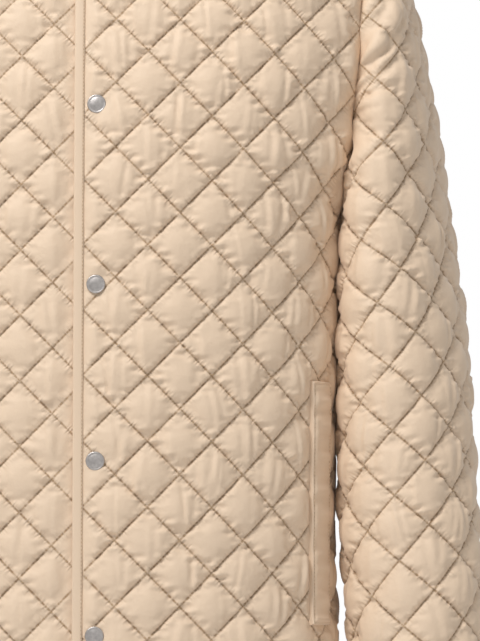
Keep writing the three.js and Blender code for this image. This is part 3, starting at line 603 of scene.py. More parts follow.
@dataclass
class Fold:
    """A soft fold over the quilting: its middle, its direction from level, half lengths and height."""

    u: float
    v: float
    degrees: float
    half_length: float
    half_width: float
    height: float

    def lift(self, flat: np.ndarray) -> np.ndarray:
        """How far the fold lifts each point of the flat cloth."""
        turn = math.radians(self.degrees)
        du, dv = flat[:, 0] - self.u, flat[:, 1] - self.v
        along = du * math.cos(turn) + dv * math.sin(turn)
        across = dv * math.cos(turn) - du * math.sin(turn)
        return self.height * bump(along, self.half_length) * bump(across, self.half_width)


@dataclass
class Quilting:
    """Diamond quilting of one piece, and the relief that its stitches give the cloth."""

    origin: tuple[float, float]
    seed: int
    creases: float = 1.0  # strength of the upright creases in the diamonds
    half_width: float = 25.6
    half_height: float = 26.05
    wall: float = 2.0
    puff: float = 5.6
    roundness: float = 0.72
    groove: float = 0.9
    groove_width: float = 1.5
    seam_wall: float = 0.3
    seam_rise: float = 3.5
    fade: float = 13
    folds: tuple[Fold, ...] = ()
    fold_fade: float = 4.5  # the folds start at the seam, which gathers them
    drift: float = 0.0  # how far the columns of diamonds move round a sleeve, from the first height to the second
    drift_from: float = -270.8
    drift_to: float = -453.2
    lap: tuple[float, float] | None = None  # pressed flat to the first distance from the centre, full at the second
    presses: tuple[tuple[float, float, float], ...] = ()  # snap caps: u, v and reach

    def lattice(self, flat: np.ndarray) -> np.ndarray:
        """Coordinates in which every whole number is a stitch line: falling lines first, rising ones second."""
        a = (flat[:, 0] - self.origin[0] - self.moved(flat[:, 1])) / self.half_width
        b = (flat[:, 1] - self.origin[1]) / self.half_height
        return np.stack([(a + b) / 2, (b - a) / 2], axis=1)

    def unlattice(self, grid: np.ndarray) -> np.ndarray:
        """Points of the flat cloth at the given lattice coordinates."""
        v = self.origin[1] + (grid[:, 0] + grid[:, 1]) * self.half_height
        u = self.origin[0] + self.moved(v) + (grid[:, 0] - grid[:, 1]) * self.half_width
        return np.stack([u, v], axis=1)

    def moved(self, v: np.ndarray) -> np.ndarray:
        """How far the columns of diamonds stand aside at each height of the cloth."""
        return self.drift * smoothstep(-v, -self.drift_from, -self.drift_to)

    def spacing(self) -> float:
        """Distance between neighbouring stitch lines."""
        return 2 * self.half_width * self.half_height / math.hypot(self.half_width, self.half_height)

    def pillow(self, grid: np.ndarray) -> np.ndarray:
        """Height of the puffed diamonds, from 0 on the stitches to about 1, each a little different."""
        cell, part = np.floor(grid), grid - np.floor(grid)
        size = 0.9 + 0.2 * hashed(self.seed, cell[:, 0], cell[:, 1])
        lean = 0.16 * (hashed(self.seed + 1, cell[:, 0], cell[:, 1]) - 0.5)
        part = np.clip(part + lean[:, None] * part * (1 - part), 0, 1)
        arches = 16 * (part[:, 0] * (1 - part[:, 0])) * (part[:, 1] * (1 - part[:, 1]))
        return size * arches**self.roundness

    def crease_depths(self, flat: np.ndarray, grid: np.ndarray) -> np.ndarray:
        """Depth of the upright creases that cross the diamonds from corner to corner."""
        cell = np.floor(grid)
        middle = self.unlattice(cell + 0.5)
        across, up = flat[:, 0] - middle[:, 0], flat[:, 1] - middle[:, 1]
        window = np.clip(1 - (np.abs(up) / self.half_height) ** 3, 0, 1)
        depth = np.zeros(len(flat))
        for k in range(4):
            place = 30 * (hashed(self.seed + 10 + k, cell[:, 0], cell[:, 1]) - 0.5)
            slant = 0.45 * (hashed(self.seed + 20 + k, cell[:, 0], cell[:, 1]) - 0.5)
            strength = np.maximum(0, hashed(self.seed + 30 + k, cell[:, 0], cell[:, 1]) - 0.35)
            width = 1.2 + 1.8 * hashed(self.seed + 40 + k, cell[:, 0], cell[:, 1])
            offset = across - place - slant * up
            depth += strength * (bump(offset, width) - 0.7 * bump(offset - 1.9 * width, width)) * window
        return depth

    def puckers(self, grid: np.ndarray) -> np.ndarray:
        """Small ridges that leave the stitch lines, stronger on the falling lines."""
        total = np.zeros(len(grid))
        for axis, strength in ((0, 1.0), (1, 0.7)):
            line = np.round(grid[:, axis])
            gap = np.abs(grid[:, axis] - line) * self.spacing()
            along = grid[:, 1 - axis] * self.spacing() + 0.5 * (grid[:, axis] - line) * self.spacing()
            side = np.sign(grid[:, axis] - line)
            fine = ripple(self.seed + 50 + axis, along / 2.4, line * 2 + side)
            broad = ripple(self.seed + 60 + axis, along / 4.6, line * 2 + side)
            total += strength * (1.5 * fine * bump(gap - 1.6, 1.9) + 2.0 * broad * bump(gap - 4.2, 3.8))
        return total

    def height(self, flat: np.ndarray, edge_gap: np.ndarray, loose: np.ndarray) -> np.ndarray:
        """Thickness of the cloth at points of the flat cut.

        Args:
            flat: The points.
            edge_gap: Their distances from the piece's edge.
            loose: How free the cloth is, 0 where it is pressed flat.

        Returns:
            The outer face's height over the inner one.
        """
        grid = self.lattice(flat)
        full = smoothstep(edge_gap, 0, self.fade) * loose
        pressed = np.ones(len(flat)) if self.lap is None else smoothstep(-flat[:, 0], *self.lap)
        for u, v, reach in self.presses:
            pressed *= 1 - 0.85 * bump(np.hypot(flat[:, 0] - u, flat[:, 1] - v), reach)
        soft = self.pillow(grid)
        nearest = np.abs(grid - np.round(grid)).min(axis=1) * self.spacing()
        stitched = self.groove * bump(nearest, self.groove_width)
        wrinkles = self.puckers(grid) - 2.7 * self.creases * self.crease_depths(flat, grid) * np.sqrt(soft) - stitched
        wall = self.seam_wall + (self.wall * (0.5 + 0.5 * loose) - self.seam_wall) * smoothstep(
            edge_gap, -1, self.seam_rise
        )
        lift = sum((fold.lift(flat) for fold in self.folds), np.zeros(len(flat))) * smoothstep(edge_gap, 0, self.fold_fade)
        raised = wall + (self.puff * soft * pressed + 0.74 * wrinkles * (0.25 + 0.75 * pressed)) * full + lift
        return np.maximum(raised, 0.35 * wall)


# Meshes


def add_object(name: str, points: np.ndarray, faces: np.ndarray, finish: "Finish", smooth: bool = True) -> bpy.types.Object:
    """Makes a mesh piece that rides on the jacket.

    Args:
        name: The piece's name.
        points: Its points in millimetres.
        faces: Its faces, all with the same number of corners.
        finish: The finish that it wears.
        smooth: Whether it is shaded smooth.

    Returns:
        The new object.
    """
    mesh = bpy.data.meshes.new(name)
    sides = faces.shape[1]
    mesh.vertices.add(len(points))
    mesh.vertices.foreach_set("co", (np.asarray(points, float) * METRES).astype(np.float32).ravel())
    mesh.loops.add(faces.size)
    mesh.loops.foreach_set("vertex_index", faces.astype(np.int32).ravel())
    mesh.polygons.add(len(faces))
    mesh.polygons.foreach_set("loop_start", np.arange(len(faces), dtype=np.int32) * sides)
    mesh.polygons.foreach_set("use_smooth", np.full(len(faces), smooth))
    mesh.update(calc_edges=True)
    mesh.validate()
    obj = bpy.data.objects.new(name, mesh)
    bpy.context.scene.collection.objects.link(obj)
    finish.dress(obj)
    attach(obj, BODY)
    return obj


def add_flat_coordinates(obj: bpy.types.Object, coordinates: np.ndarray) -> None:
    """Keeps a pair of numbers for each point as the mesh's texture coordinates."""
    layer = obj.data.uv_layers.new(name="cloth")
    index = np.empty(len(obj.data.loops), np.int32)
    obj.data.loops.foreach_get("vertex_index", index)
    layer.data.foreach_set("uv", coordinates[index].astype(np.float32).ravel())


def triangulated(outline: Outline, inner: np.ndarray) -> np.ndarray:
    """Triangles between the points of an outline and those inside it.

    Args:
        outline: The cut's edge.
        inner: Points inside it.

    Returns:
        Triangles, anticlockwise, by number of the outline's points and then the inner ones.
    """
    flat = np.concatenate([outline.flat, inner])
    count = len(outline.flat)
    points = [Vector((float(u), float(v))) for u, v in flat]
    _, _, faces, origins, _, _ = delaunay_2d_cdt(points, [], [list(range(count))], 1, 1e-5, True)
    first = np.array([origin[0] for origin in origins])
    triangles = first[np.array(faces)]
    on_edge = (triangles < count).all(axis=1)
    outside = ~outline.holds(flat[triangles].mean(axis=1))
    return triangles[~(on_edge & outside)]


@dataclass
class ClothPanel:
    """One quilted piece: its cut, its place in space and its quilting."""

    name: str
    grid: ClothGrid
    outline: Outline
    quilting: Quilting
    divisions: int
    form: TorsoForm
    inner_divisions: int = 4
    press: "WeltCut | None" = None
    beside_body: bool = False
    beside_sleeve: bool = False
    side_height: float = 4.2  # thickness of the cloth where the sleeve presses on the torso's side

    def points_inside(self, divisions: int, clear: float) -> np.ndarray:
        """Points of the flat cloth inside the cut, in rows along the stitch lines.

        Args:
            divisions: Rows to each diamond.
            clear: Least distance from the edge.

        Returns:
            The points.
        """
        corners = self.quilting.lattice(self.outline.flat)
        low = np.floor(corners.min(axis=0) * divisions).astype(int)
        high = np.ceil(corners.max(axis=0) * divisions).astype(int)
        s, t = np.meshgrid(np.arange(low[0], high[0] + 1), np.arange(low[1], high[1] + 1), indexing="ij")
        flat = self.quilting.unlattice(np.stack([s.ravel(), t.ravel()], axis=1) / divisions)
        box_low, box_high = self.outline.flat.min(axis=0), self.outline.flat.max(axis=0)
        flat = flat[((flat > box_low) & (flat < box_high)).all(axis=1)]
        flat = flat[self.outline.holds(flat)]
        return flat[self.outline.gaps(flat) > clear]

    def thickness(self, flat: np.ndarray, places: np.ndarray, gaps: np.ndarray) -> np.ndarray:
        """Height of the outer face over the inner one at points of the cloth."""
        height = self.quilting.height(flat, gaps, self.form.looseness(places))
        if self.beside_sleeve:
            inset = self.form.curves["half"](places[:, 2]) - np.abs(places[:, 0])
            level = smoothstep(-places[:, 2], 280, 310) * (1 - smoothstep(-places[:, 2], 560, 620))
            near = level * (1 - smoothstep(inset, 1, 8))
            height = np.minimum(height, height * (1 - near) + self.side_height * near)
        if self.beside_body:
            room = np.maximum(self.form.clearance(places) - self.side_height, 1.0)
            above = smoothstep(places[:, 2], self.form.armhole.underarm(), self.form.armhole.underarm() + 14)
            height = np.minimum(height, room + above * height)
        return height if self.press is None else self.press.pressed(flat, height)

    def outer(self, flat: np.ndarray) -> tuple[np.ndarray, np.ndarray, np.ndarray]:
        """The outer face at points inside the cut.

        Args:
            flat: Points of the flat cloth.

        Returns:
            Places, normals and tangents along u.
        """
        place, normal, du, _ = self.grid.frames(flat)
        height = self.thickness(flat, place, self.outline.gaps(flat))
        return place + normal * height[:, None], normal, du

    def build(self, finish: "Finish") -> bpy.types.Object:
        """Makes the piece as one closed wall, puffed outside and plain inside.

        Args:
            finish: The cloth's finish.

        Returns:
            The piece.
        """
        border = self.outline.flat
        border_place, border_normal, _, _ = self.grid.frames(border)
        border_place = np.where(np.isnan(self.outline.place), border_place, self.outline.place)
        zero = np.zeros(len(border))
        border_height = self.thickness(border, border_place, zero)[:, None]
        layers = []
        for divisions, outside in ((self.divisions, True), (self.inner_divisions, False)):
            spacing = self.quilting.spacing() / divisions
            inside = self.points_inside(divisions, (0.55 if outside else 0.4) * spacing)
            place, normal, _, _ = self.grid.frames(inside)
            height = self.thickness(inside, place, self.outline.gaps(inside))[:, None] if outside else 0.0
            rim = border_place + border_normal * (border_height if outside else 0.0)
            flat = np.concatenate([border, inside])
            faces = triangulated(self.outline, inside)
            layers.append((np.concatenate([rim, place + normal * height]), flat, faces))
        (outer, outer_flat, outer_faces), (inner, inner_flat, inner_faces) = layers
        start, count = len(outer), len(border)
        this, after = np.arange(count), (np.arange(count) + 1) % count
        rim_faces = np.concatenate(
            [np.stack([after, this, this + start], 1), np.stack([after, this + start, after + start], 1)]
        )
        faces = np.concatenate([outer_faces, inner_faces[:, ::-1] + start, rim_faces])
        obj = add_object(self.name, np.concatenate([outer, inner]), faces, finish)
        add_flat_coordinates(obj, self.quilting.lattice(np.concatenate([outer_flat, inner_flat])))
        LOG.info("%s: %d faces", self.name, len(faces))
        return obj

    def declare(self, obj: bpy.types.Object, rests_on: tuple[str, ...] = ()) -> None:
        """Does nothing with the piece."""


@dataclass
class WeltCut:
    """Where a pocket welt lies on a front, in the flat cloth of the wearer's left."""

    side: Side
    near: float = 181
    far: float = 208
    top: float = -452
    bottom: float = -649
    flattened: float = 2.6

    def pressed(self, flat: np.ndarray, height: np.ndarray) -> np.ndarray:
        """Presses the quilting flat under the welt.

        Args:
            flat: Points of the front.
            height: Their heights.

        Returns:
            The heights, lower under the welt.
        """
        u = self.side.value * flat[:, 0]
        across = smoothstep(u, self.near - 7, self.near + 1) * (1 - smoothstep(u, self.far - 1, self.far + 7))
        up = smoothstep(flat[:, 1], self.bottom - 7, self.bottom + 1) * (
            1 - smoothstep(flat[:, 1], self.top - 1, self.top + 7)
        )
        share = across * up
        return height * (1 - share) + np.minimum(height, self.flattened) * share


# Finishes


def linear(code: str) -> tuple[float, float, float, float]:
    """Turns an sRGB hex colour to linear light.

    Args:
        code: The colour, such as "E3CDB2".

    Returns:
        Its red, green and blue in linear light, and an alpha of 1.
    """
    values = [int(code[i : i + 2], 16) / 255 for i in (0, 2, 4)]
    red, green, blue = (x / 12.92 if x <= 0.04045 else ((x + 0.055) / 1.055) ** 2.4 for x in values)
    return red, green, blue, 1.0


def add_node(tree: bpy.types.NodeTree, kind: str, links: dict | None = None, **settings: object) -> bpy.types.Node:
    """Adds a shader node with its settings and links.

    Args:
        tree: The material's nodes.
        kind: Blender's name of the node's type.
        links: For each input by name or number, a value or the output socket that feeds it.
        settings: Other properties of the node.

    Returns:
        The new node.
    """
    node = tree.nodes.new(kind)
    for name, value in settings.items():
        setattr(node, name, value)
    for name, value in (links or {}).items():
        if isinstance(value, bpy.types.NodeSocket):
            tree.links.new(value, node.inputs[name])
        else:
            node.inputs[name].default_value = value
    return node


@dataclass(frozen=True)
class Finish:
    """A surface finish, made once and worn by several pieces."""

    name: str
    slot: str

    def material(self) -> bpy.types.Material:
        """The finish's material, made on first use."""
        found = bpy.data.materials.get(self.name)
        if found is not None:
            return found
        material = bpy.data.materials.new(self.name)
        material.use_nodes = True
        material.node_tree.nodes.clear()
        shader = self.shade(material.node_tree)
        add_node(material.node_tree, "ShaderNodeOutputMaterial", {"Surface": shader.outputs[0]})
        return material

    def shade(self, tree: bpy.types.NodeTree) -> bpy.types.Node:
        """Builds the shader; each finish has its own."""
        raise NotImplementedError

    def dress(self, obj: bpy.types.Object) -> None:
        """Puts the finish on a piece."""
        obj.data.materials.clear()
        obj.data.materials.append(self.material())


@dataclass(frozen=True)
class QuiltedNylon(Finish):
    """Fine plain-woven nylon, calendered smooth, over a thin wadding.

    Its filaments give a soft sheen and no weave that the eye can count at this distance. Shade is
    painted into its colour, a little deeper along the stitch lines.
    """

    name: str = "quilted_nylon"
    slot: str = "quilted_cloth"
    colour: str = "E1C8AD"
    # painted shade: the colour that the stitch valleys are darkened to, standing in for their shade
    stitch_valley_shade: str = "8E6C48"
    roughness: float = 0.64
    thread_mm: float = 1.1  # the weave of 0.2 mm is drawn this coarse, so that it shows at all
    line_width: float = 0.042
    gathers_a_side: float = 15.0  # gathers along the 36.5 mm side of a diamond
    gather_reach: float = 2.6
    gather_width: float = 0.2  # how far they reach from the line, in diamonds; line_width above is the width of the painted shade beside a stitch line, in diamonds

    def nearness(self, tree: bpy.types.NodeTree, axis: int, width: float) -> bpy.types.NodeSocket:
        """Nearness to the stitch lines of one direction, from 0 away from them to 1 on them.

        Args:
            tree: The material's nodes.
            axis: 0 for the falling lines and 1 for the rising ones.
            width: Where it ends, in diamonds.

        Returns:
            The socket that carries it.
        """
        place = add_node(tree, "ShaderNodeUVMap", uv_map="cloth")
        parts = add_node(tree, "ShaderNodeSeparateXYZ", {0: place.outputs["UV"]})
        distance = add_node(tree, "ShaderNodeMath", {0: parts.outputs[axis], 1: 0.5}, operation="PINGPONG")
        near = add_node(
            tree,
            "ShaderNodeMapRange",
            {"Value": distance.outputs[0], "From Min": 0.0, "From Max": width, "To Min": 1.0, "To Max": 0.0},
            interpolation_type="SMOOTHSTEP",
        )
        return near.outputs[0]

    def gathers(self, tree: bpy.types.NodeTree, axis: int) -> bpy.types.NodeSocket:
        """Fine gathers of the cloth, at right angles to the stitch lines of one direction.

        Args:
            tree: The material's nodes.
            axis: 0 for the falling lines and 1 for the rising ones.

        Returns:
            The socket that carries their height, from 0 to about 1.
        """
        place = add_node(tree, "ShaderNodeUVMap", uv_map="cloth")
        stretch = (self.gather_reach, self.gathers_a_side, 1.0) if axis == 0 else (self.gathers_a_side, self.gather_reach, 1.0)
        drawn = add_node(
            tree, "ShaderNodeMapping", {"Vector": place.outputs["UV"], "Scale": stretch, "Location": (3.7 * axis, 0, 0)}
        )
        noise = add_node(tree, "ShaderNodeTexNoise", {"Vector": drawn.outputs[0], "Scale": 1.0, "Detail": 1.0})
        return noise.outputs[0]

    def shade(self, tree: bpy.types.NodeTree) -> bpy.types.Node:
        """Builds the cloth's shader."""
        dark, high = [], []
        for axis in (0, 1):
            gathers = self.gathers(tree, axis)
            line = self.nearness(tree, axis, self.line_width)
            held = self.nearness(tree, axis, self.gather_width)
            uneven = add_node(
                tree,
                "ShaderNodeMapRange",
                {"Value": gathers, "From Min": 0.66, "From Max": 0.36, "To Min": 0.3, "To Max": 0.9},
            )
            shade = add_node(tree, "ShaderNodeMath", {0: line, 1: uneven.outputs[0]}, operation="MULTIPLY")
            dark.append(shade.outputs[0])
            ridge = add_node(tree, "ShaderNodeMath", {0: held, 1: gathers}, operation="MULTIPLY")
            high.append(ridge.outputs[0])
        painted_line_shade = add_node(tree, "ShaderNodeMath", {0: dark[0], 1: dark[1]}, operation="MAXIMUM")
        ridges = add_node(tree, "ShaderNodeMath", {0: high[0], 1: high[1]}, operation="ADD")
        # painted shade: the cloth's colour is darkened along the stitch lines, unevenly with the gathers
        colour = add_node(
            tree,
            "ShaderNodeMix",
            {0: painted_line_shade.outputs[0], 6: linear(self.colour), 7: linear(self.stitch_valley_shade)},
            data_type="RGBA",
        )
        place = add_node(tree, "ShaderNodeTexCoord")
        weave = add_node(
            tree, "ShaderNodeTexNoise", {"Vector": place.outputs["Object"], "Scale": 1 / (self.thread_mm * METRES)}
        )
        crumple = add_node(
            tree, "ShaderNodeTexNoise", {"Vector": place.outputs["Object"], "Scale": 1 / 0.009, "Detail": 3.0}
        )
        relief = add_node(
            tree, "ShaderNodeMath", {0: weave.outputs[0], 1: 0.12, 2: crumple.outputs[0]}, operation="MULTIPLY_ADD"
        )
        small = add_node(
            tree, "ShaderNodeBump", {"Strength": 0.7, "Distance": 0.0012, "Height": relief.outputs[0]}
        )
        bumps = add_node(
            tree,
            "ShaderNodeBump",
            {"Strength": 0.8, "Distance": 0.0022, "Height": ridges.outputs[0], "Normal": small.outputs[0]},
        )
        return add_node(
            tree,
            "ShaderNodeBsdfPrincipled",
            {
                "Base Color": colour.outputs[2],
                "Roughness": self.roughness,
                "IOR": 1.5,
                "Sheen Weight": 0.15,
                "Sheen Roughness": 0.4,
                "Normal": bumps.outputs[0],
            },
        )


@dataclass(frozen=True)
class PlainNylon(Finish):
    """The same nylon without wadding, folded to strips: flatter and a little deeper in colour."""

    name: str = "plain_nylon"
    slot: str = "trim"
    colour: str = "DEC5AA"
    roughness: float = 0.55

    def shade(self, tree: bpy.types.NodeTree) -> bpy.types.Node:
        """Builds the strips' shader."""
        place = add_node(tree, "ShaderNodeTexCoord")
        crumple = add_node(
            tree, "ShaderNodeTexNoise", {"Vector": place.outputs["Object"], "Scale": 1 / 0.006, "Detail": 2.0}
        )
        bumps = add_node(
            tree, "ShaderNodeBump", {"Strength": 0.3, "Distance": 0.0005, "Height": crumple.outputs[0]}
        )
        return add_node(
            tree,
            "ShaderNodeBsdfPrincipled",
            {
                "Base Color": linear(self.colour),
                "Roughness": self.roughness,
                "IOR": 1.5,
                "Sheen Weight": 0.2,
                "Normal": bumps.outputs[0],
            },
        )


@dataclass(frozen=True)
class SewingThread(Finish):
    """Spun polyester sewing thread: matt, and a shade deeper than the cloth that it is sunk in."""

    name: str = "sewing_thread"
    slot: str = "trim"
    colour: str = "BFA27A"

    def shade(self, tree: bpy.types.NodeTree) -> bpy.types.Node:
        """Builds the thread's shader."""
        return add_node(
            tree, "ShaderNodeBsdfPrincipled", {"Base Color": linear(self.colour), "Roughness": 0.8, "IOR": 1.5}
        )


@dataclass(frozen=True)
class AgedPewter(Finish):
    """Antique pewter plating on stamped brass: grey, slightly blotched, with a dull shine."""

    name: str = "aged_pewter"
    slot: str = "snap_cap"
    light: str = "D6D0CC"
    dark: str = "9C9692"

    def shade(self, tree: bpy.types.NodeTree) -> bpy.types.Node:
        """Builds the plating's shader."""
        place = add_node(tree, "ShaderNodeTexCoord")
        blotch = add_node(
            tree, "ShaderNodeTexNoise", {"Vector": place.outputs["Object"], "Scale": 1 / 0.0025, "Detail": 4.0}
        )
        colour = add_node(
            tree,
            "ShaderNodeMix",
            {0: blotch.outputs[0], 6: linear(self.dark), 7: linear(self.light)},
            data_type="RGBA",
        )
        bumps = add_node(
            tree, "ShaderNodeBump", {"Strength": 0.4, "Distance": 0.0003, "Height": blotch.outputs[0]}
        )
        return add_node(
            tree,
            "ShaderNodeBsdfPrincipled",
            {"Base Color": colour.outputs[2], "Metallic": 0.9, "Roughness": 0.42, "Normal": bumps.outputs[0]},
        )


CLOTH = QuiltedNylon()
STRIP = PlainNylon()
THREAD = SewingThread()
PEWTER = AgedPewter()


# The jacket's pieces


@dataclass
class Closing:
    """How the fronts lap at the centre."""

    lift: float = 2.1
    flat_to: float = 20
    gone_at: float = 78
    edge: float = 11.5

    def lift_at(self, u: np.ndarray) -> np.ndarray:
        """How far the cloth is moved out or in, by distance from the centre front."""
        return self.lift * (1 - smoothstep(u, self.flat_to, self.gone_at))


@dataclass
class NeckCut:
    """The neck seam, a circle in plan."""

    torso: TorsoForm
    y: float = -15
    radius: float = 75

    def side_angle(self) -> float:
        """Turn from the front to the shoulder seam."""
        return math.acos(self.y / self.radius)

    def points(self, angle: np.ndarray) -> np.ndarray:
        """Points of the seam on the torso.

        Args:
            angle: Turns from the front to the wearer's left, up to half a turn.

        Returns:
            The points in space.
        """
        x, y = self.radius * np.sin(angle), self.y - self.radius * np.cos(angle)
        low = np.full(len(x), self.torso.armhole.z)
        high = np.full(len(x), float(self.torso.rows[0][0]))
        for _ in range(40):
            z = (low + high) / 2
            ahead, behind = self.torso.depth(x, z, Face.FRONT), self.torso.depth(x, z, Face.BACK)
            depth = np.where(y < 0, ahead, behind)
            outside = (np.abs(x) > self.torso.curves["half"](z)) | (np.abs(y) > depth)
            high, low = np.where(outside, z, high), np.where(outside, low, z)
        return np.stack([x, y, low], axis=1)


@dataclass
class Body:
    """The two fronts and the back."""

    torso: TorsoForm
    neck: NeckCut
    closing: Closing
    hem: float = -727
    step: float = 2.0
    snaps: tuple[float, ...] = (-94, -234.6, -379, -519, -656.4)

    def front_grid(self, side: Side) -> ClothGrid:
        """Places of a front's cloth, measured from the centre front to the wearer's left."""
        u, v = np.arange(-330.0, 331.0), np.arange(-745.0, 45.0)
        z = self.torso.heights.level_of(v)
        rings = self.torso.rings(z)
        points = read_rings(rings, lengths_along(rings), np.broadcast_to(np.abs(u), (len(v), len(u))))
        points[:, :, 0] *= np.sign(u)[None, :]
        points[:, :, 1] -= (self.closing.lift_at(side.value * u) * side.value)[None, :]
        points[:, :, 2] = z[:, None]
        return ClothGrid(u, v, points)

    def back_grid(self) -> ClothGrid:
        """Places of the back's cloth, measured from the centre back to the wearer's right."""
        u, v = np.arange(-345.0, 346.0), np.arange(-745.0, 45.0)
        z = self.torso.heights.level_of(v)
        rings = self.torso.rings(z)
        lengths = lengths_along(rings)
        points = read_rings(rings, lengths, lengths[:, -1:] - np.abs(u)[None, :])
        points[:, :, 0] *= -np.sign(u)[None, :]
        points[:, :, 2] = z[:, None]
        return ClothGrid(u, v, points)

    def armhole(self, face: Face) -> tuple[np.ndarray, np.ndarray]:
        """The left armhole in the flat cloth, from the underarm up to the shoulder.

        Args:
            face: Front or back.

        Returns:
            Flat points, measured from the centre front or centre back, and their places.
        """
        angle = np.linspace(np.pi, 0, 150)
        place = self.torso.armhole_points(angle, face)
        total = self.torso.girths(place[:, 2])[1] if face is Face.BACK else 0.0
        flat = np.stack([self.torso.girth_to(place) - total, self.torso.heights.at_level(place[:, 2])], axis=1)
        return flat, place

    def side_run(self, start: float, end: float, face: Face) -> np.ndarray:
        """A side or shoulder seam between two heights of the cloth."""
        v = spread(start, end, self.step)
        side, total = self.torso.girths(self.torso.heights.level_of(v))
        return np.stack([side if face is Face.FRONT else total - side, v], axis=1)

    def neck_run(self, start: float, end: float, face: Face) -> np.ndarray:
        """The neck seam between two turns from the front, in the flat cloth."""
        angle = spread(start, end, self.step / self.neck.radius)
        place = self.neck.points(np.abs(angle))
        girth = np.sign(angle) * self.torso.girth_to(place)
        if face is Face.BACK:
            girth = girth - self.torso.girths(place[:, 2])[1]
        return np.stack([girth, self.torso.heights.at_level(place[:, 2])], axis=1)

    def front_outline(self) -> Outline:
        """The cut of the left front."""
        edge = -self.closing.edge
        side = self.side_run(self.hem, float(self.torso.armhole.underarm()), Face.FRONT)
        hole, place = self.armhole(Face.FRONT)
        neck = self.neck_run(self.neck.side_angle(), -math.asin(self.closing.edge / self.neck.radius), Face.FRONT)
        shoulder = self.side_run(hole[-1, 1], neck[0, 1], Face.FRONT)
        side[-1], shoulder[0] = hole[0], hole[-1]
        hem = np.array([[u, self.hem] for u in spread(edge, side[0, 0], self.step)])
        down = np.array([[edge, v] for v in spread(neck[-1, 1], self.hem, self.step)])
        return Outline.of_runs((hem, None), (side, None), (hole, place), (shoulder, None), (neck, None), (down, None))

    def back_outline(self) -> Outline:
        """The cut of the back, anticlockwise from the wearer's left at the hem."""
        side = self.side_run(self.hem, float(self.torso.armhole.underarm()), Face.BACK)
        hole, place = self.armhole(Face.BACK)
        neck = self.neck_run(self.neck.side_angle(), math.pi, Face.BACK)
        shoulder = self.side_run(hole[-1, 1], neck[0, 1], Face.BACK)
        flip, flip_place = np.array([-1, 1]), np.array([-1, 1, 1])
        hem = np.array([[u, self.hem] for u in spread(-side[0, 0], side[0, 0], self.step)])
        left_side, left_shoulder = side * flip, shoulder * flip
        right_neck = neck * flip
        return Outline.of_runs(
            (hem, None),
            (side, None),
            (hole * flip, place * flip_place),
            (shoulder, None),
            (right_neck, None),
            (neck[::-1], None),
            (left_shoulder[::-1], None),
            (hole[::-1], place[::-1]),
            (left_side[::-1], None),
        )

    def panels(self) -> dict[str, ClothPanel]:
        """The three quilted pieces by name."""
        caps = tuple((0.0, float(self.torso.heights.at_level(z)), 12.0) for z in self.snaps)
        left_cut = self.front_outline()
        left = Quilting((15.2, -164.6), 3, creases=1.0, presses=caps)
        right = Quilting((-34.6, -168.6), 5, creases=1.0, lap=(17, 36))
        back = Quilting((0.0, -164.6), 7, creases=0.8)
        return {
            "front_left": ClothPanel(
                "quilted_front_left",
                self.front_grid(Side.LEFT),
                left_cut,
                left,
                24,
                self.torso,
                press=WeltCut(Side.LEFT),
                beside_sleeve=True,
            ),
            "front_right": ClothPanel(
                "quilted_front_right",
                self.front_grid(Side.RIGHT),
                left_cut.mirrored(),
                right,
                18,
                self.torso,
                press=WeltCut(Side.RIGHT),
                beside_sleeve=True,
            ),
            "back": ClothPanel(
                "quilted_back",
                self.back_grid(),
                self.back_outline(),
                back,
                12,
                self.torso,
                beside_sleeve=True,
            ),
        }


@dataclass
class Sleeve:
    """The left sleeve; the right one is its mirror image."""

    form: SleeveForm
    cuff: float = -684
    step: float = 2.0

    def grid(self) -> ClothGrid:
        """Places of the sleeve's cloth, measured from its outside towards the back."""
        top = float(self.form.heights.at_level(self.form.rows[0][0]))
        u, v = np.arange(-300.0, 301.0), np.arange(-700.0, math.ceil(top) + 1.0)
        rings = self.form.rings(self.form.heights.level_of(v))
        lengths = lengths_along(rings)
        middle = lengths[:, RING_STEPS // 2][:, None]
        return ClothGrid(u, v, read_rings(rings, lengths, middle + u[None, :]))

    def run(self, z: np.ndarray, end: int) -> np.ndarray:
        """The cloth's front or back edge at some levels.

        Args:
            z: The levels.
            end: 0 for the front edge, -1 for the back one.

        Returns:
            Flat points.
        """
        lengths = lengths_along(self.form.rings(z))
        u = lengths[:, end] - lengths[:, RING_STEPS // 2]
        return np.stack([u, self.form.heights.at_level(z)], axis=1)

    def outline(self) -> Outline:
        """The cut of the sleeve."""
        torso = self.form.torso
        angle = np.linspace(np.pi, 0, 150)
        holes = {}
        for face, end in ((Face.FRONT, 0), (Face.BACK, -1)):
            place = torso.armhole_points(angle, face)
            holes[face] = (self.run(place[:, 2], end), place)
        levels = spread(self.cuff, torso.armhole.underarm(), self.step)
        front, back = self.run(levels, 0), self.run(levels, -1)
        front[-1], back[-1] = holes[Face.FRONT][0][0], holes[Face.BACK][0][0]
        cuff = np.array([[u, self.cuff] for u in spread(front[0, 0], back[0, 0], self.step)])
        return Outline.of_runs(
            (cuff, None),
            (back, None),
            holes[Face.BACK],
            (holes[Face.FRONT][0][::-1], holes[Face.FRONT][1][::-1]),
            (front[::-1], None),
        )

    def panel(self) -> ClothPanel:
        """The quilted piece, with the folds that the armhole sets in it."""
        folds = (
            Fold(-87, -166, 57, 24, 3.2, -3.6),
            Fold(-77, -158, 57, 22, 3.0, -4.2),
            Fold(-63, -166, 55, 20, 3.0, -3.8),
            Fold(-90, -180, 48, 18, 3.0, -3.0),
            Fold(-78, -186, 40, 24, 3.2, -4.4),
            Fold(-76, -200, 45, 18, 2.8, -3.6),
            Fold(-104, -204, 34, 20, 3.0, -4.2),
            Fold(-98, -212, 28, 20, 2.6, -3.0),
            Fold(-95, -220, 20, 24, 3.0, -4.0),
            Fold(-108, -233, 8, 18, 2.8, -3.4),
        )
        quilting = Quilting((-84.0, -361.2), 11, creases=0.9, drift=29.4, folds=folds)
        return ClothPanel(
            "quilted_sleeve_left",
            self.grid(),
            self.outline(),
            quilting,
            22,
            self.form.torso,
            beside_body=True,
        )


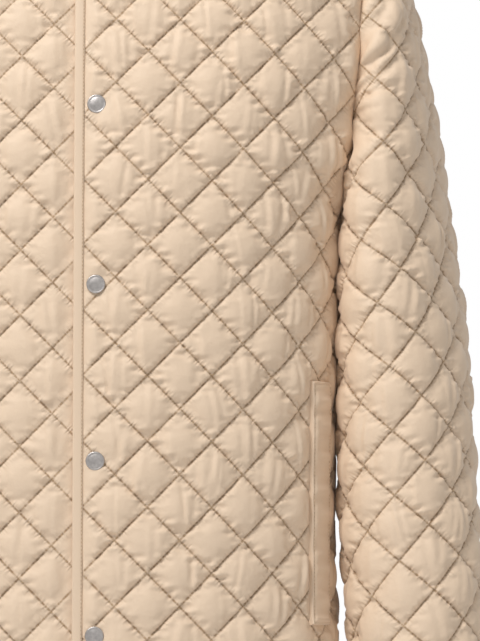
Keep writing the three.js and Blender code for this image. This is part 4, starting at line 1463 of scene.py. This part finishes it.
@dataclass
class Collar:
    """The stand collar, a strip that leans in and laps with the fronts."""

    neck: NeckCut
    closing: Closing
    height: float = 42
    lean: float = math.radians(8)
    lap: float = 1.3
    step: float = 2.0

    def grid(self) -> ClothGrid:
        """Places of the collar's cloth, measured from the centre front round the wearer's left."""
        radius = self.neck.radius
        u, v = np.arange(-20.0, 2 * math.pi * radius + 21), np.arange(-3.0, self.height + 4)
        angle = u / radius
        base = self.neck.points(np.where(angle > math.pi, 2 * math.pi - angle, np.abs(angle)))[:, 2]
        lift = self.closing.lift_at(u) - self.closing.lift_at(2 * math.pi * radius - u)
        out = radius + self.lap * lift[None, :] - v[:, None] * math.sin(self.lean)
        x, y = out * np.sin(angle), self.neck.y - out * np.cos(angle)
        return ClothGrid(u, v, np.stack([x, y, base[None, :] + v[:, None] * math.cos(self.lean)], axis=2))

    def outline(self) -> Outline:
        """The cut of the collar, a long strip."""
        ends = self.closing.edge, 2 * math.pi * self.neck.radius + self.closing.edge
        along = spread(-ends[0], ends[1], self.step)
        up = spread(0, self.height, self.step)
        bottom = np.stack([along, np.zeros(len(along))], axis=1)
        right = np.stack([np.full(len(up), along[-1]), up], axis=1)
        top = np.stack([along[::-1], np.full(len(along), self.height)], axis=1)
        left = np.stack([np.full(len(up), along[0]), up[::-1]], axis=1)
        return Outline.of_runs((bottom, None), (right, None), (top, None), (left, None))

    def panel(self) -> ClothPanel:
        """The quilted piece."""
        quilting = Quilting((math.pi * self.neck.radius, 8.0), 13, creases=0.5)
        return ClothPanel("quilted_collar", self.grid(), self.outline(), quilting, 14, self.neck.torso)


@dataclass
class Stitching:
    """Lockstitches along the quilting lines of a panel."""

    pitch: float = 3.3
    length: float = 2.5
    width: float = 0.55
    height: float = 0.45
    edge_clear: float = 4

    def rows(self, panel: ClothPanel) -> tuple[np.ndarray, np.ndarray]:
        """Middles of the stitches in the flat cloth, and their directions there."""
        quilting = panel.quilting
        corners = quilting.lattice(panel.outline.flat)
        low, high = np.floor(corners.min(axis=0)), np.ceil(corners.max(axis=0))
        step = self.pitch / quilting.spacing()
        middles, directions = [], []
        for axis in (0, 1):
            lines = np.arange(low[axis], high[axis] + 1)
            along = np.arange(low[1 - axis], high[1 - axis], step)
            line, place = (a.ravel() for a in np.meshgrid(lines, along, indexing="ij"))
            grid = np.stack([line, place] if axis == 0 else [place, line], axis=1)
            ahead = grid.copy()
            ahead[:, 1 - axis] += 0.01
            flat = quilting.unlattice(grid)
            middles.append(flat)
            directions.append(unit(quilting.unlattice(ahead) - flat))
        flat, direction = np.concatenate(middles), np.concatenate(directions)
        box_low, box_high = panel.outline.flat.min(axis=0), panel.outline.flat.max(axis=0)
        keep = ((flat > box_low) & (flat < box_high)).all(axis=1)
        flat, direction = flat[keep], direction[keep]
        keep = panel.outline.holds(flat)
        flat, direction = flat[keep], direction[keep]
        keep = panel.outline.gaps(flat) > self.edge_clear
        return flat[keep], direction[keep]

    def sew(self, name: str, panel: ClothPanel, flat: np.ndarray, direction: np.ndarray, lift: float = 0.1) -> bpy.types.Object:
        """Makes stitches on a panel's outer face.

        Args:
            name: The piece's name.
            panel: The cloth that they are sewn in.
            flat: Middles of the stitches in the flat cloth.
            direction: Their directions there.
            lift: How far their middles lie over the cloth.

        Returns:
            The stitches as one piece.
        """
        here, normal, _ = panel.outer(flat)
        ahead = panel.grid.places(flat + direction)
        along = unit(ahead - panel.grid.places(flat - direction))
        across = unit(np.cross(normal, along))
        return self.threads(name, here + normal * lift, along, across, normal)

    def threads(self, name: str, middle: np.ndarray, along: np.ndarray, across: np.ndarray, normal: np.ndarray) -> bpy.types.Object:
        """Makes one small spindle for each stitch.

        Args:
            name: The piece's name.
            middle: Middles of the stitches in space.
            along: Their directions.
            across: The directions beside them.
            normal: The directions out of the cloth.

        Returns:
            The stitches as one piece.
        """
        long, wide, high = along * self.length / 2, across * self.width / 2, normal * self.height / 2
        corners = [middle - long, middle + wide, middle + high, middle - wide, middle - high, middle + long]
        points = np.stack(corners, axis=1).reshape(-1, 3)
        faces = np.array([[0, 1, 2], [0, 2, 3], [0, 3, 4], [0, 4, 1], [5, 2, 1], [5, 3, 2], [5, 4, 3], [5, 1, 4]])
        every = (np.arange(len(middle)) * 6)[:, None, None] + faces[None]
        return add_object(name, points, every.reshape(-1, 3), THREAD)


@dataclass
class Binding:
    """Folded strips that bind the edges of the cloth."""

    width: float = 6.4
    over: float = 1.8  # how far a strip reaches over the cloth
    low: float = -0.35
    high: float = 2.9
    shown: float = 11.5  # what shows of the strip from outside, round its nose
    rounding: int = 5

    def section(self) -> np.ndarray:
        """The strip's rounded section, as distances beyond the cloth's edge and up from its inner face."""
        half, middle = (self.high - self.low) / 2, (self.high + self.low) / 2
        turn = np.linspace(-np.pi / 2, np.pi / 2, 2 * self.rounding + 1)
        nose = np.stack([self.width - half + half * np.cos(turn), middle + half * np.sin(turn)], axis=1)
        back = np.array(
            [[2.5, self.high + 0.05], [0.4, self.high], [-self.over, self.high - 0.5], [-self.over, self.high - 1.2]]
        )
        under = np.array([[-self.over, self.low], [2.0, self.low]])
        return np.concatenate([nose, back, under])

    def strip(self, name: str, place: np.ndarray, normal: np.ndarray, out: np.ndarray, closed: bool = False) -> bpy.types.Object:
        """Makes a strip along an edge.

        Args:
            name: The piece's name.
            place: Points of the cloth's edge, inner face.
            normal: Directions out of the cloth's face.
            out: Directions away from the cloth, in its face.
            closed: Whether the strip meets itself.

        Returns:
            The strip.
        """
        section = self.section()
        points = (
            place[:, None, :]
            + out[:, None, :] * section[None, :, :1]
            + normal[:, None, :] * section[None, :, 1:]
        )
        rings, sides = len(place), len(section)
        ring = np.arange(rings if closed else rings - 1)
        side = np.arange(sides)
        a = (ring[:, None] * sides + side[None]).ravel()
        b = (ring[:, None] * sides + (side[None] + 1) % sides).ravel()
        after = (ring[:, None] + 1) % rings * sides
        c, d = (after + (side[None] + 1) % sides).ravel(), (after + side[None]).ravel()
        faces = np.concatenate([np.stack([a, c, b], 1), np.stack([a, d, c], 1)])
        if not closed:
            fan = np.arange(1, sides - 1)
            last = (rings - 1) * sides
            start = np.stack([np.zeros_like(fan), fan, fan + 1], 1)
            end = np.stack([np.full_like(fan, last), last + fan + 1, last + fan], 1)
            faces = np.concatenate([faces, start, end])
        return add_object(name, points.reshape(-1, 3), faces, STRIP)

    def declare(self, strip: bpy.types.Object, closed: bool = False) -> None:
        """Reads a strip's points, ring by ring, and does nothing more with them.

        Args:
            strip: The strip, or its mirror image.
            closed: Whether it meets itself; not used.
        """
        points = np.array([vertex.co for vertex in strip.data.vertices]).reshape(-1, len(self.section()), 3)

    def edge(self, panel: ClothPanel, flat: np.ndarray, out: tuple[float, float]) -> tuple[np.ndarray, ...]:
        """Places, normals and outward directions along an edge of a panel.

        Args:
            panel: The cloth.
            flat: Points of its edge.
            out: The flat direction away from the cloth.

        Returns:
            The places, normals and directions.
        """
        place, normal, du, dv = panel.grid.frames(flat)
        away = unit(du * out[0] + dv * out[1])
        return place, normal, away


@dataclass
class Bindings:
    """All the bound edges: the fronts, the hem, the collar's top and the cuffs."""

    body: Body
    panels: dict[str, ClothPanel]
    collar: ClothPanel
    sleeve: ClothPanel
    section: Binding = field(default_factory=Binding)
    stitching: Stitching = field(default_factory=lambda: Stitching(pitch=3.0, length=2.2))
    step: float = 4.0

    def front(self, side: Side) -> bpy.types.Object:
        """The strip down one front edge, from the collar's top to the hem."""
        panel = self.panels["front_left" if side is Side.LEFT else "front_right"]
        edge = -side.value * self.body.closing.edge
        top = float(panel.outline.flat[np.abs(panel.outline.flat[:, 0] - edge) < 1e-6, 1].max())
        front = np.array([[edge, v] for v in spread(top - 3, self.body.hem + 1, self.step)])
        collar_u = edge if side is Side.LEFT else 2 * math.pi * self.body.neck.radius + self.body.closing.edge
        stand = np.array([[collar_u, v] for v in spread(40.5, 1, self.step)])
        parts = [
            self.section.edge(self.collar, stand, (-side.value, 0)),
            self.section.edge(panel, front, (-side.value, 0)),
        ]
        place, normal, out = (np.concatenate(pair) for pair in zip(*parts))
        if side is Side.RIGHT:
            place, normal, out = place[::-1], normal[::-1], out[::-1]
        return self.section.strip(f"bound_front_{side.name.lower()}", place, normal, out)

    def hem(self) -> bpy.types.Object:
        """The strip along the hem, from the left front's edge round the back to the right front's edge."""
        runs = []
        edge, hem = self.body.closing.edge, self.body.hem
        side, total = (float(x[0]) for x in self.body.torso.girths(np.array([hem])))
        spans = {
            "front_left": (-edge - self.section.width, side),
            "back": (side - total + 3, total - side - 3),
            "front_right": (-side, edge + self.section.width),
        }
        for name, (start, end) in spans.items():
            flat = np.array([[u, hem] for u in spread(start, end, self.step)])
            runs.append(self.section.edge(self.panels[name], flat, (0, -1)))
        place, normal, out = (np.concatenate(triple) for triple in zip(*runs))
        return self.section.strip("bound_hem", place, normal, out)

    def cuff(self) -> bpy.types.Object:
        """The ring round the left cuff."""
        low = self.sleeve.outline.flat
        row = low[np.abs(low[:, 1] - low[:, 1].min()) < 1e-6, 0]
        flat = np.array([[u, low[:, 1].min()] for u in spread(row.min(), row.max(), self.step)[:-1]])
        place, normal, out = self.section.edge(self.sleeve, flat, (0, -1))
        return self.section.strip("bound_cuff_left", place, normal, out, closed=True)

    def collar_top(self) -> bpy.types.Object:
        """The strip along the collar's top."""
        ends = self.collar.outline.flat[:, 0]
        reach = self.section.width
        flat = np.array([[u, 42.0] for u in spread(ends.max() + reach, ends.min() - reach, self.step)])
        place, normal, out = self.section.edge(self.collar, flat, (0, 1))
        return self.section.strip("bound_collar", place, normal, out)

    def edge_stitches(self) -> bpy.types.Object:
        """The row of stitches that holds the left front's strip."""
        panel = self.panels["front_left"]
        edge = -self.body.closing.edge
        top = float(panel.outline.flat[:, 1].max())
        v = np.arange(self.body.hem + 3, min(top, -62), self.stitching.pitch)
        flat = np.stack([np.full(len(v), edge + 0.9), v], axis=1)
        place, normal, du, dv = panel.grid.frames(flat)
        return self.stitching.threads("edge_stitches", place + normal * (self.section.high - 0.25), dv, du, normal)


@dataclass
class Welt:
    """A plain doubled strip over the mouth of a hand pocket."""

    cut: WeltCut
    body_height: float = 6.8
    sunk: float = 0.6
    step: float = 1.5
    stitch_inset: float = 2.4

    def relief(self, across: np.ndarray, up: np.ndarray) -> np.ndarray:
        """Height of the strip over the front's inner face, by distance from its sides and ends."""
        edge = np.minimum(across, up)
        soft = self.sunk + (self.body_height - self.sunk) * np.sqrt(smoothstep(edge, -0.3, 1.6))
        groove = 1.0 * bump(edge - self.stitch_inset, 0.9)
        return soft - groove

    def build(self, name: str, panel: ClothPanel) -> bpy.types.Object:
        """Makes the strip.

        Args:
            name: The piece's name.
            panel: The front that it lies on.

        Returns:
            The strip.
        """
        cut = self.cut
        offsets = np.array([0.0, 0.4, 0.8, 1.4, 2.0, 2.4, 3.0, 4.2])
        across = np.concatenate([offsets, spread(6.5, cut.far - cut.near - 6.5, self.step)])
        across = np.unique(np.concatenate([across, cut.far - cut.near - offsets]))
        height = cut.top - cut.bottom
        up = np.unique(np.concatenate([offsets, spread(6.5, height - 6.5, self.step), height - offsets]))
        a, b = np.meshgrid(across, up, indexing="ij")
        flat = np.stack([cut.side.value * (cut.near + a.ravel()), cut.bottom + b.ravel()], axis=1)
        place, normal, _, _ = panel.grid.frames(flat)
        from_side = np.minimum(a, cut.far - cut.near - a).ravel()
        from_end = np.minimum(b, height - b).ravel()
        wave = 1.3 * rolling(21, flat[:, 0] / 26, flat[:, 1] / 9) + 0.6 * rolling(22, flat[:, 0] / 18, flat[:, 1] / 4)
        lift = self.relief(from_side, from_end) + wave * smoothstep(np.minimum(from_side, from_end), 0, 4)
        outer, inner = place + normal * lift[:, None], place + normal * 0.8
        rows, columns = a.shape
        index = np.arange(rows * columns).reshape(rows, columns)
        p, q, r, s = (x.ravel() for x in (index[:-1, :-1], index[1:, :-1], index[1:, 1:], index[:-1, 1:]))
        top = np.concatenate([np.stack([p, q, r], 1), np.stack([p, r, s], 1)])
        ring = np.concatenate([index[:-1, 0], index[-1, :-1], index[:0:-1, -1], index[0, :0:-1]])
        after, start = np.roll(ring, -1), rows * columns
        rim = np.concatenate([np.stack([after, ring, ring + start], 1), np.stack([after, ring + start, after + start], 1)])
        faces = np.concatenate([top, top[:, ::-1] + start, rim])
        if cut.side is Side.RIGHT:
            faces = faces[:, ::-1]
        strip = add_object(name, np.concatenate([outer, inner]), faces, STRIP)
        return strip

    def stitches(self, name: str, panel: ClothPanel, stitching: Stitching) -> bpy.types.Object:
        """The row of stitches along the strip's two long sides."""
        cut = self.cut
        v = np.arange(cut.bottom + 3, cut.top - 3, stitching.pitch)
        rows = [np.stack([np.full(len(v), u), v], axis=1) for u in (cut.near + self.stitch_inset, cut.far - self.stitch_inset)]
        flat = np.concatenate(rows) * np.array([cut.side.value, 1])
        place, normal, du, dv = panel.grid.frames(flat)
        return stitching.threads(name, place + normal * (self.body_height - 0.6), dv, du, normal)


@dataclass
class SnapCap:
    """The plain domed cap of a snap fastener."""

    radius: float = 7.5
    sides: int = 64
    profile: tuple[tuple[float, float], ...] = (
        (7.0, 0.0),
        (7.35, 0.15),
        (7.5, 0.55),
        (7.5, 1.0),
        (7.35, 1.45),
        (7.0, 1.75),
        (6.6, 1.8),
        (6.25, 1.66),
        (6.0, 1.6),
        (5.0, 1.86),
        (3.6, 2.14),
        (1.8, 2.34),
    )

    def build(self, name: str, place: np.ndarray, normal: np.ndarray, along: np.ndarray) -> bpy.types.Object:
        """Makes one cap.

        Args:
            name: The piece's name.
            place: Middle of its seat.
            normal: The direction that it faces.
            along: A direction in its seat.

        Returns:
            The cap.
        """
        other = np.cross(normal, along)
        turn = np.linspace(0, 2 * np.pi, self.sides, endpoint=False)
        round_it = np.cos(turn)[:, None] * along + np.sin(turn)[:, None] * other
        rings = [place + round_it * radius + normal * height for radius, height in self.profile]
        points = np.concatenate([*rings, [place], [place + normal * 2.42]])
        count, sides = len(self.profile), self.sides
        this = np.arange(sides)
        after = (this + 1) % sides
        faces = []
        for k in range(count - 1):
            a, b, c, d = k * sides + this, k * sides + after, (k + 1) * sides + after, (k + 1) * sides + this
            faces += [np.stack([a, b, c], 1), np.stack([a, c, d], 1)]
        base, tip = count * sides, count * sides + 1
        faces.append(np.stack([after, this, np.full(sides, base)], 1))
        rim = (count - 1) * sides
        faces.append(np.stack([rim + this, rim + after, np.full(sides, tip)], 1))
        return add_object(name, points, np.concatenate(faces), PEWTER)


def mirror_piece(obj: bpy.types.Object, name: str) -> bpy.types.Object:
    """Makes the wearer's right copy of a left piece.

    Args:
        obj: The left piece.
        name: The copy's name.

    Returns:
        The copy.
    """
    mesh = obj.data.copy()
    mesh.name = name
    points = np.empty(len(mesh.vertices) * 3, np.float32)
    mesh.vertices.foreach_get("co", points)
    points = points.reshape(-1, 3) * np.array([-1, 1, 1], np.float32)
    mesh.vertices.foreach_set("co", points.ravel())
    mesh.flip_normals()
    mesh.update()
    copy = bpy.data.objects.new(name, mesh)
    bpy.context.scene.collection.objects.link(copy)
    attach(copy, BODY)
    return copy


# The picture


@dataclass
class Studio:
    """Floor, lights and camera."""

    floor_z: float = -1.35
    camera_from: tuple[float, float, float] = (0.112, -2.62, -0.61)
    camera_to: tuple[float, float, float] = (0.1142, -0.11, -0.407)
    lens: float = 178
    ambient: float = 0.38

    def floor(self) -> None:
        """A plain pale floor well below the hem."""
        mesh = bpy.data.meshes.new("floor")
        size = 30.0
        corners = [(-size, -size, self.floor_z), (size, -size, self.floor_z), (size, size, self.floor_z)]
        mesh.from_pydata([*corners, (-size, size, self.floor_z)], [], [(0, 1, 2, 3)])
        floor = bpy.data.objects.new("floor", mesh)
        material = bpy.data.materials.new("studio_floor")
        material.use_nodes = True
        material.node_tree.nodes.clear()
        paint = add_node(
            material.node_tree, "ShaderNodeBsdfPrincipled", {"Base Color": linear("F8F8F8"), "Roughness": 0.9}
        )
        add_node(material.node_tree, "ShaderNodeOutputMaterial", {"Surface": paint.outputs[0]})
        mesh.materials.append(material)
        bpy.context.scene.collection.objects.link(floor)

    def light(self, name: str, place: tuple[float, float, float], aim: tuple[float, float, float], size: float, watts: float) -> None:
        """Adds a soft square light.

        Args:
            name: The light's name.
            place: Where it stands.
            aim: The point that it faces.
            size: Its side.
            watts: Its power.
        """
        data = bpy.data.lights.new(name, "AREA")
        data.size = size
        data.energy = watts
        lamp = bpy.data.objects.new(name, data)
        lamp.location = place
        lamp.rotation_euler = (Vector(aim) - Vector(place)).to_track_quat("-Z", "Y").to_euler()
        bpy.context.scene.collection.objects.link(lamp)

    def surroundings(self) -> None:
        """White walls all round, which light the jacket less than they show."""
        world = bpy.data.worlds.new("studio_world")
        world.use_nodes = True
        tree = world.node_tree
        tree.nodes.clear()
        seen = add_node(tree, "ShaderNodeLightPath")
        shown = add_node(tree, "ShaderNodeBackground", {"Color": linear("FFFFFF"), "Strength": 1.0})
        lit = add_node(tree, "ShaderNodeBackground", {"Color": linear("FFFFFF"), "Strength": self.ambient})
        both = add_node(
            tree, "ShaderNodeMixShader", {0: seen.outputs["Is Camera Ray"], 1: lit.outputs[0], 2: shown.outputs[0]}
        )
        add_node(tree, "ShaderNodeOutputWorld", {"Surface": both.outputs[0]})
        bpy.context.scene.world = world
        bpy.context.scene.view_settings.view_transform = "Standard"

    def build(self) -> None:
        """Sets the whole studio up."""
        self.floor()
        middle = (0.1, -0.1, -0.4)
        self.light("key", (-1.05, -1.85, 2.05), middle, 0.9, 82)
        self.light("fill", (1.2, -2.8, 0.1), middle, 2.0, 5)
        self.light("rim_right", (1.8, 1.2, 0.4), middle, 1.5, 5)
        self.light("rim_left", (-1.8, 1.2, 0.4), middle, 1.5, 14)
        self.surroundings()
        data = bpy.data.cameras.new("camera")
        data.sensor_fit = "AUTO"
        data.sensor_width = 36
        data.lens = self.lens
        camera = bpy.data.objects.new("camera", data)
        camera.location = self.camera_from
        aim = Vector(self.camera_to) - Vector(self.camera_from)
        camera.rotation_euler = aim.to_track_quat("-Z", "Y").to_euler()
        bpy.context.scene.collection.objects.link(camera)
        bpy.context.scene.camera = camera


def main() -> None:
    """Builds the jacket piece by piece, then the studio."""
    logging.basicConfig(level=logging.INFO, format="%(message)s")
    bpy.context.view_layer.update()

    torso = TorsoForm(ArmholeCut())
    neck = NeckCut(torso)
    closing = Closing()
    body = Body(torso, neck, closing)
    panels = body.panels()
    stitching = Stitching()
    for node, panel in panels.items():
        cloth = panel.build(CLOTH)
        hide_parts(node)
        panel.declare(cloth)
        stitching.sew(f"stitches_{node}", panel, *stitching.rows(panel))

    sleeve = Sleeve(SleeveForm(torso)).panel()
    left = sleeve.build(CLOTH)
    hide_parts("sleeve_left")
    sleeve.declare(left)
    threads = stitching.sew("stitches_sleeve_left", sleeve, *stitching.rows(sleeve))
    right = mirror_piece(left, "quilted_sleeve_right")
    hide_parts("sleeve_right")
    sleeve.declare(right)
    mirror_piece(threads, "stitches_sleeve_right")

    collar = Collar(neck, closing).panel()
    stand = collar.build(CLOTH)
    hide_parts("collar")
    collar.declare(stand)
    stitching.sew("stitches_collar", collar, *stitching.rows(collar))

    bindings = Bindings(body, panels, collar, sleeve)
    cuff = bindings.cuff()
    strips = {
        "binding_front_left": bindings.front(Side.LEFT),
        "binding_front_right": bindings.front(Side.RIGHT),
        "binding_hem": bindings.hem(),
        "binding_collar": bindings.collar_top(),
        "binding_cuff_left": cuff,
        "binding_cuff_right": mirror_piece(cuff, "bound_cuff_right"),
    }
    for node, strip in strips.items():
        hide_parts(node)
        bindings.section.declare(strip, closed="cuff" in node)
    bindings.edge_stitches()
    LOG.info("bindings: front edges, hem, cuffs and collar")

    for side in Side:
        word = side.name.lower()
        welt = Welt(WeltCut(side))
        strip = welt.build(f"pocket_welt_{word}", panels[f"front_{word}"])
        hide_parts(f"welt_{word}")
        welt.stitches(f"welt_stitches_{word}", panels[f"front_{word}"], bindings.stitching)
        LOG.info("pocket welt: %s", word)

    front = panels["front_left"]
    for k, z in enumerate(body.snaps):
        flat = np.array([[0.0, float(torso.heights.at_level(z))]])
        place, normal, along = front.outer(flat)
        cap = SnapCap().build(f"cap_{k + 1}", place[0] + normal[0] * 0.3, normal[0], along[0])
        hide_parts(f"snap_{k + 1}")
    LOG.info("snap caps: %d", len(body.snaps))

    Studio().build()


if __name__ == "__main__":
    main()
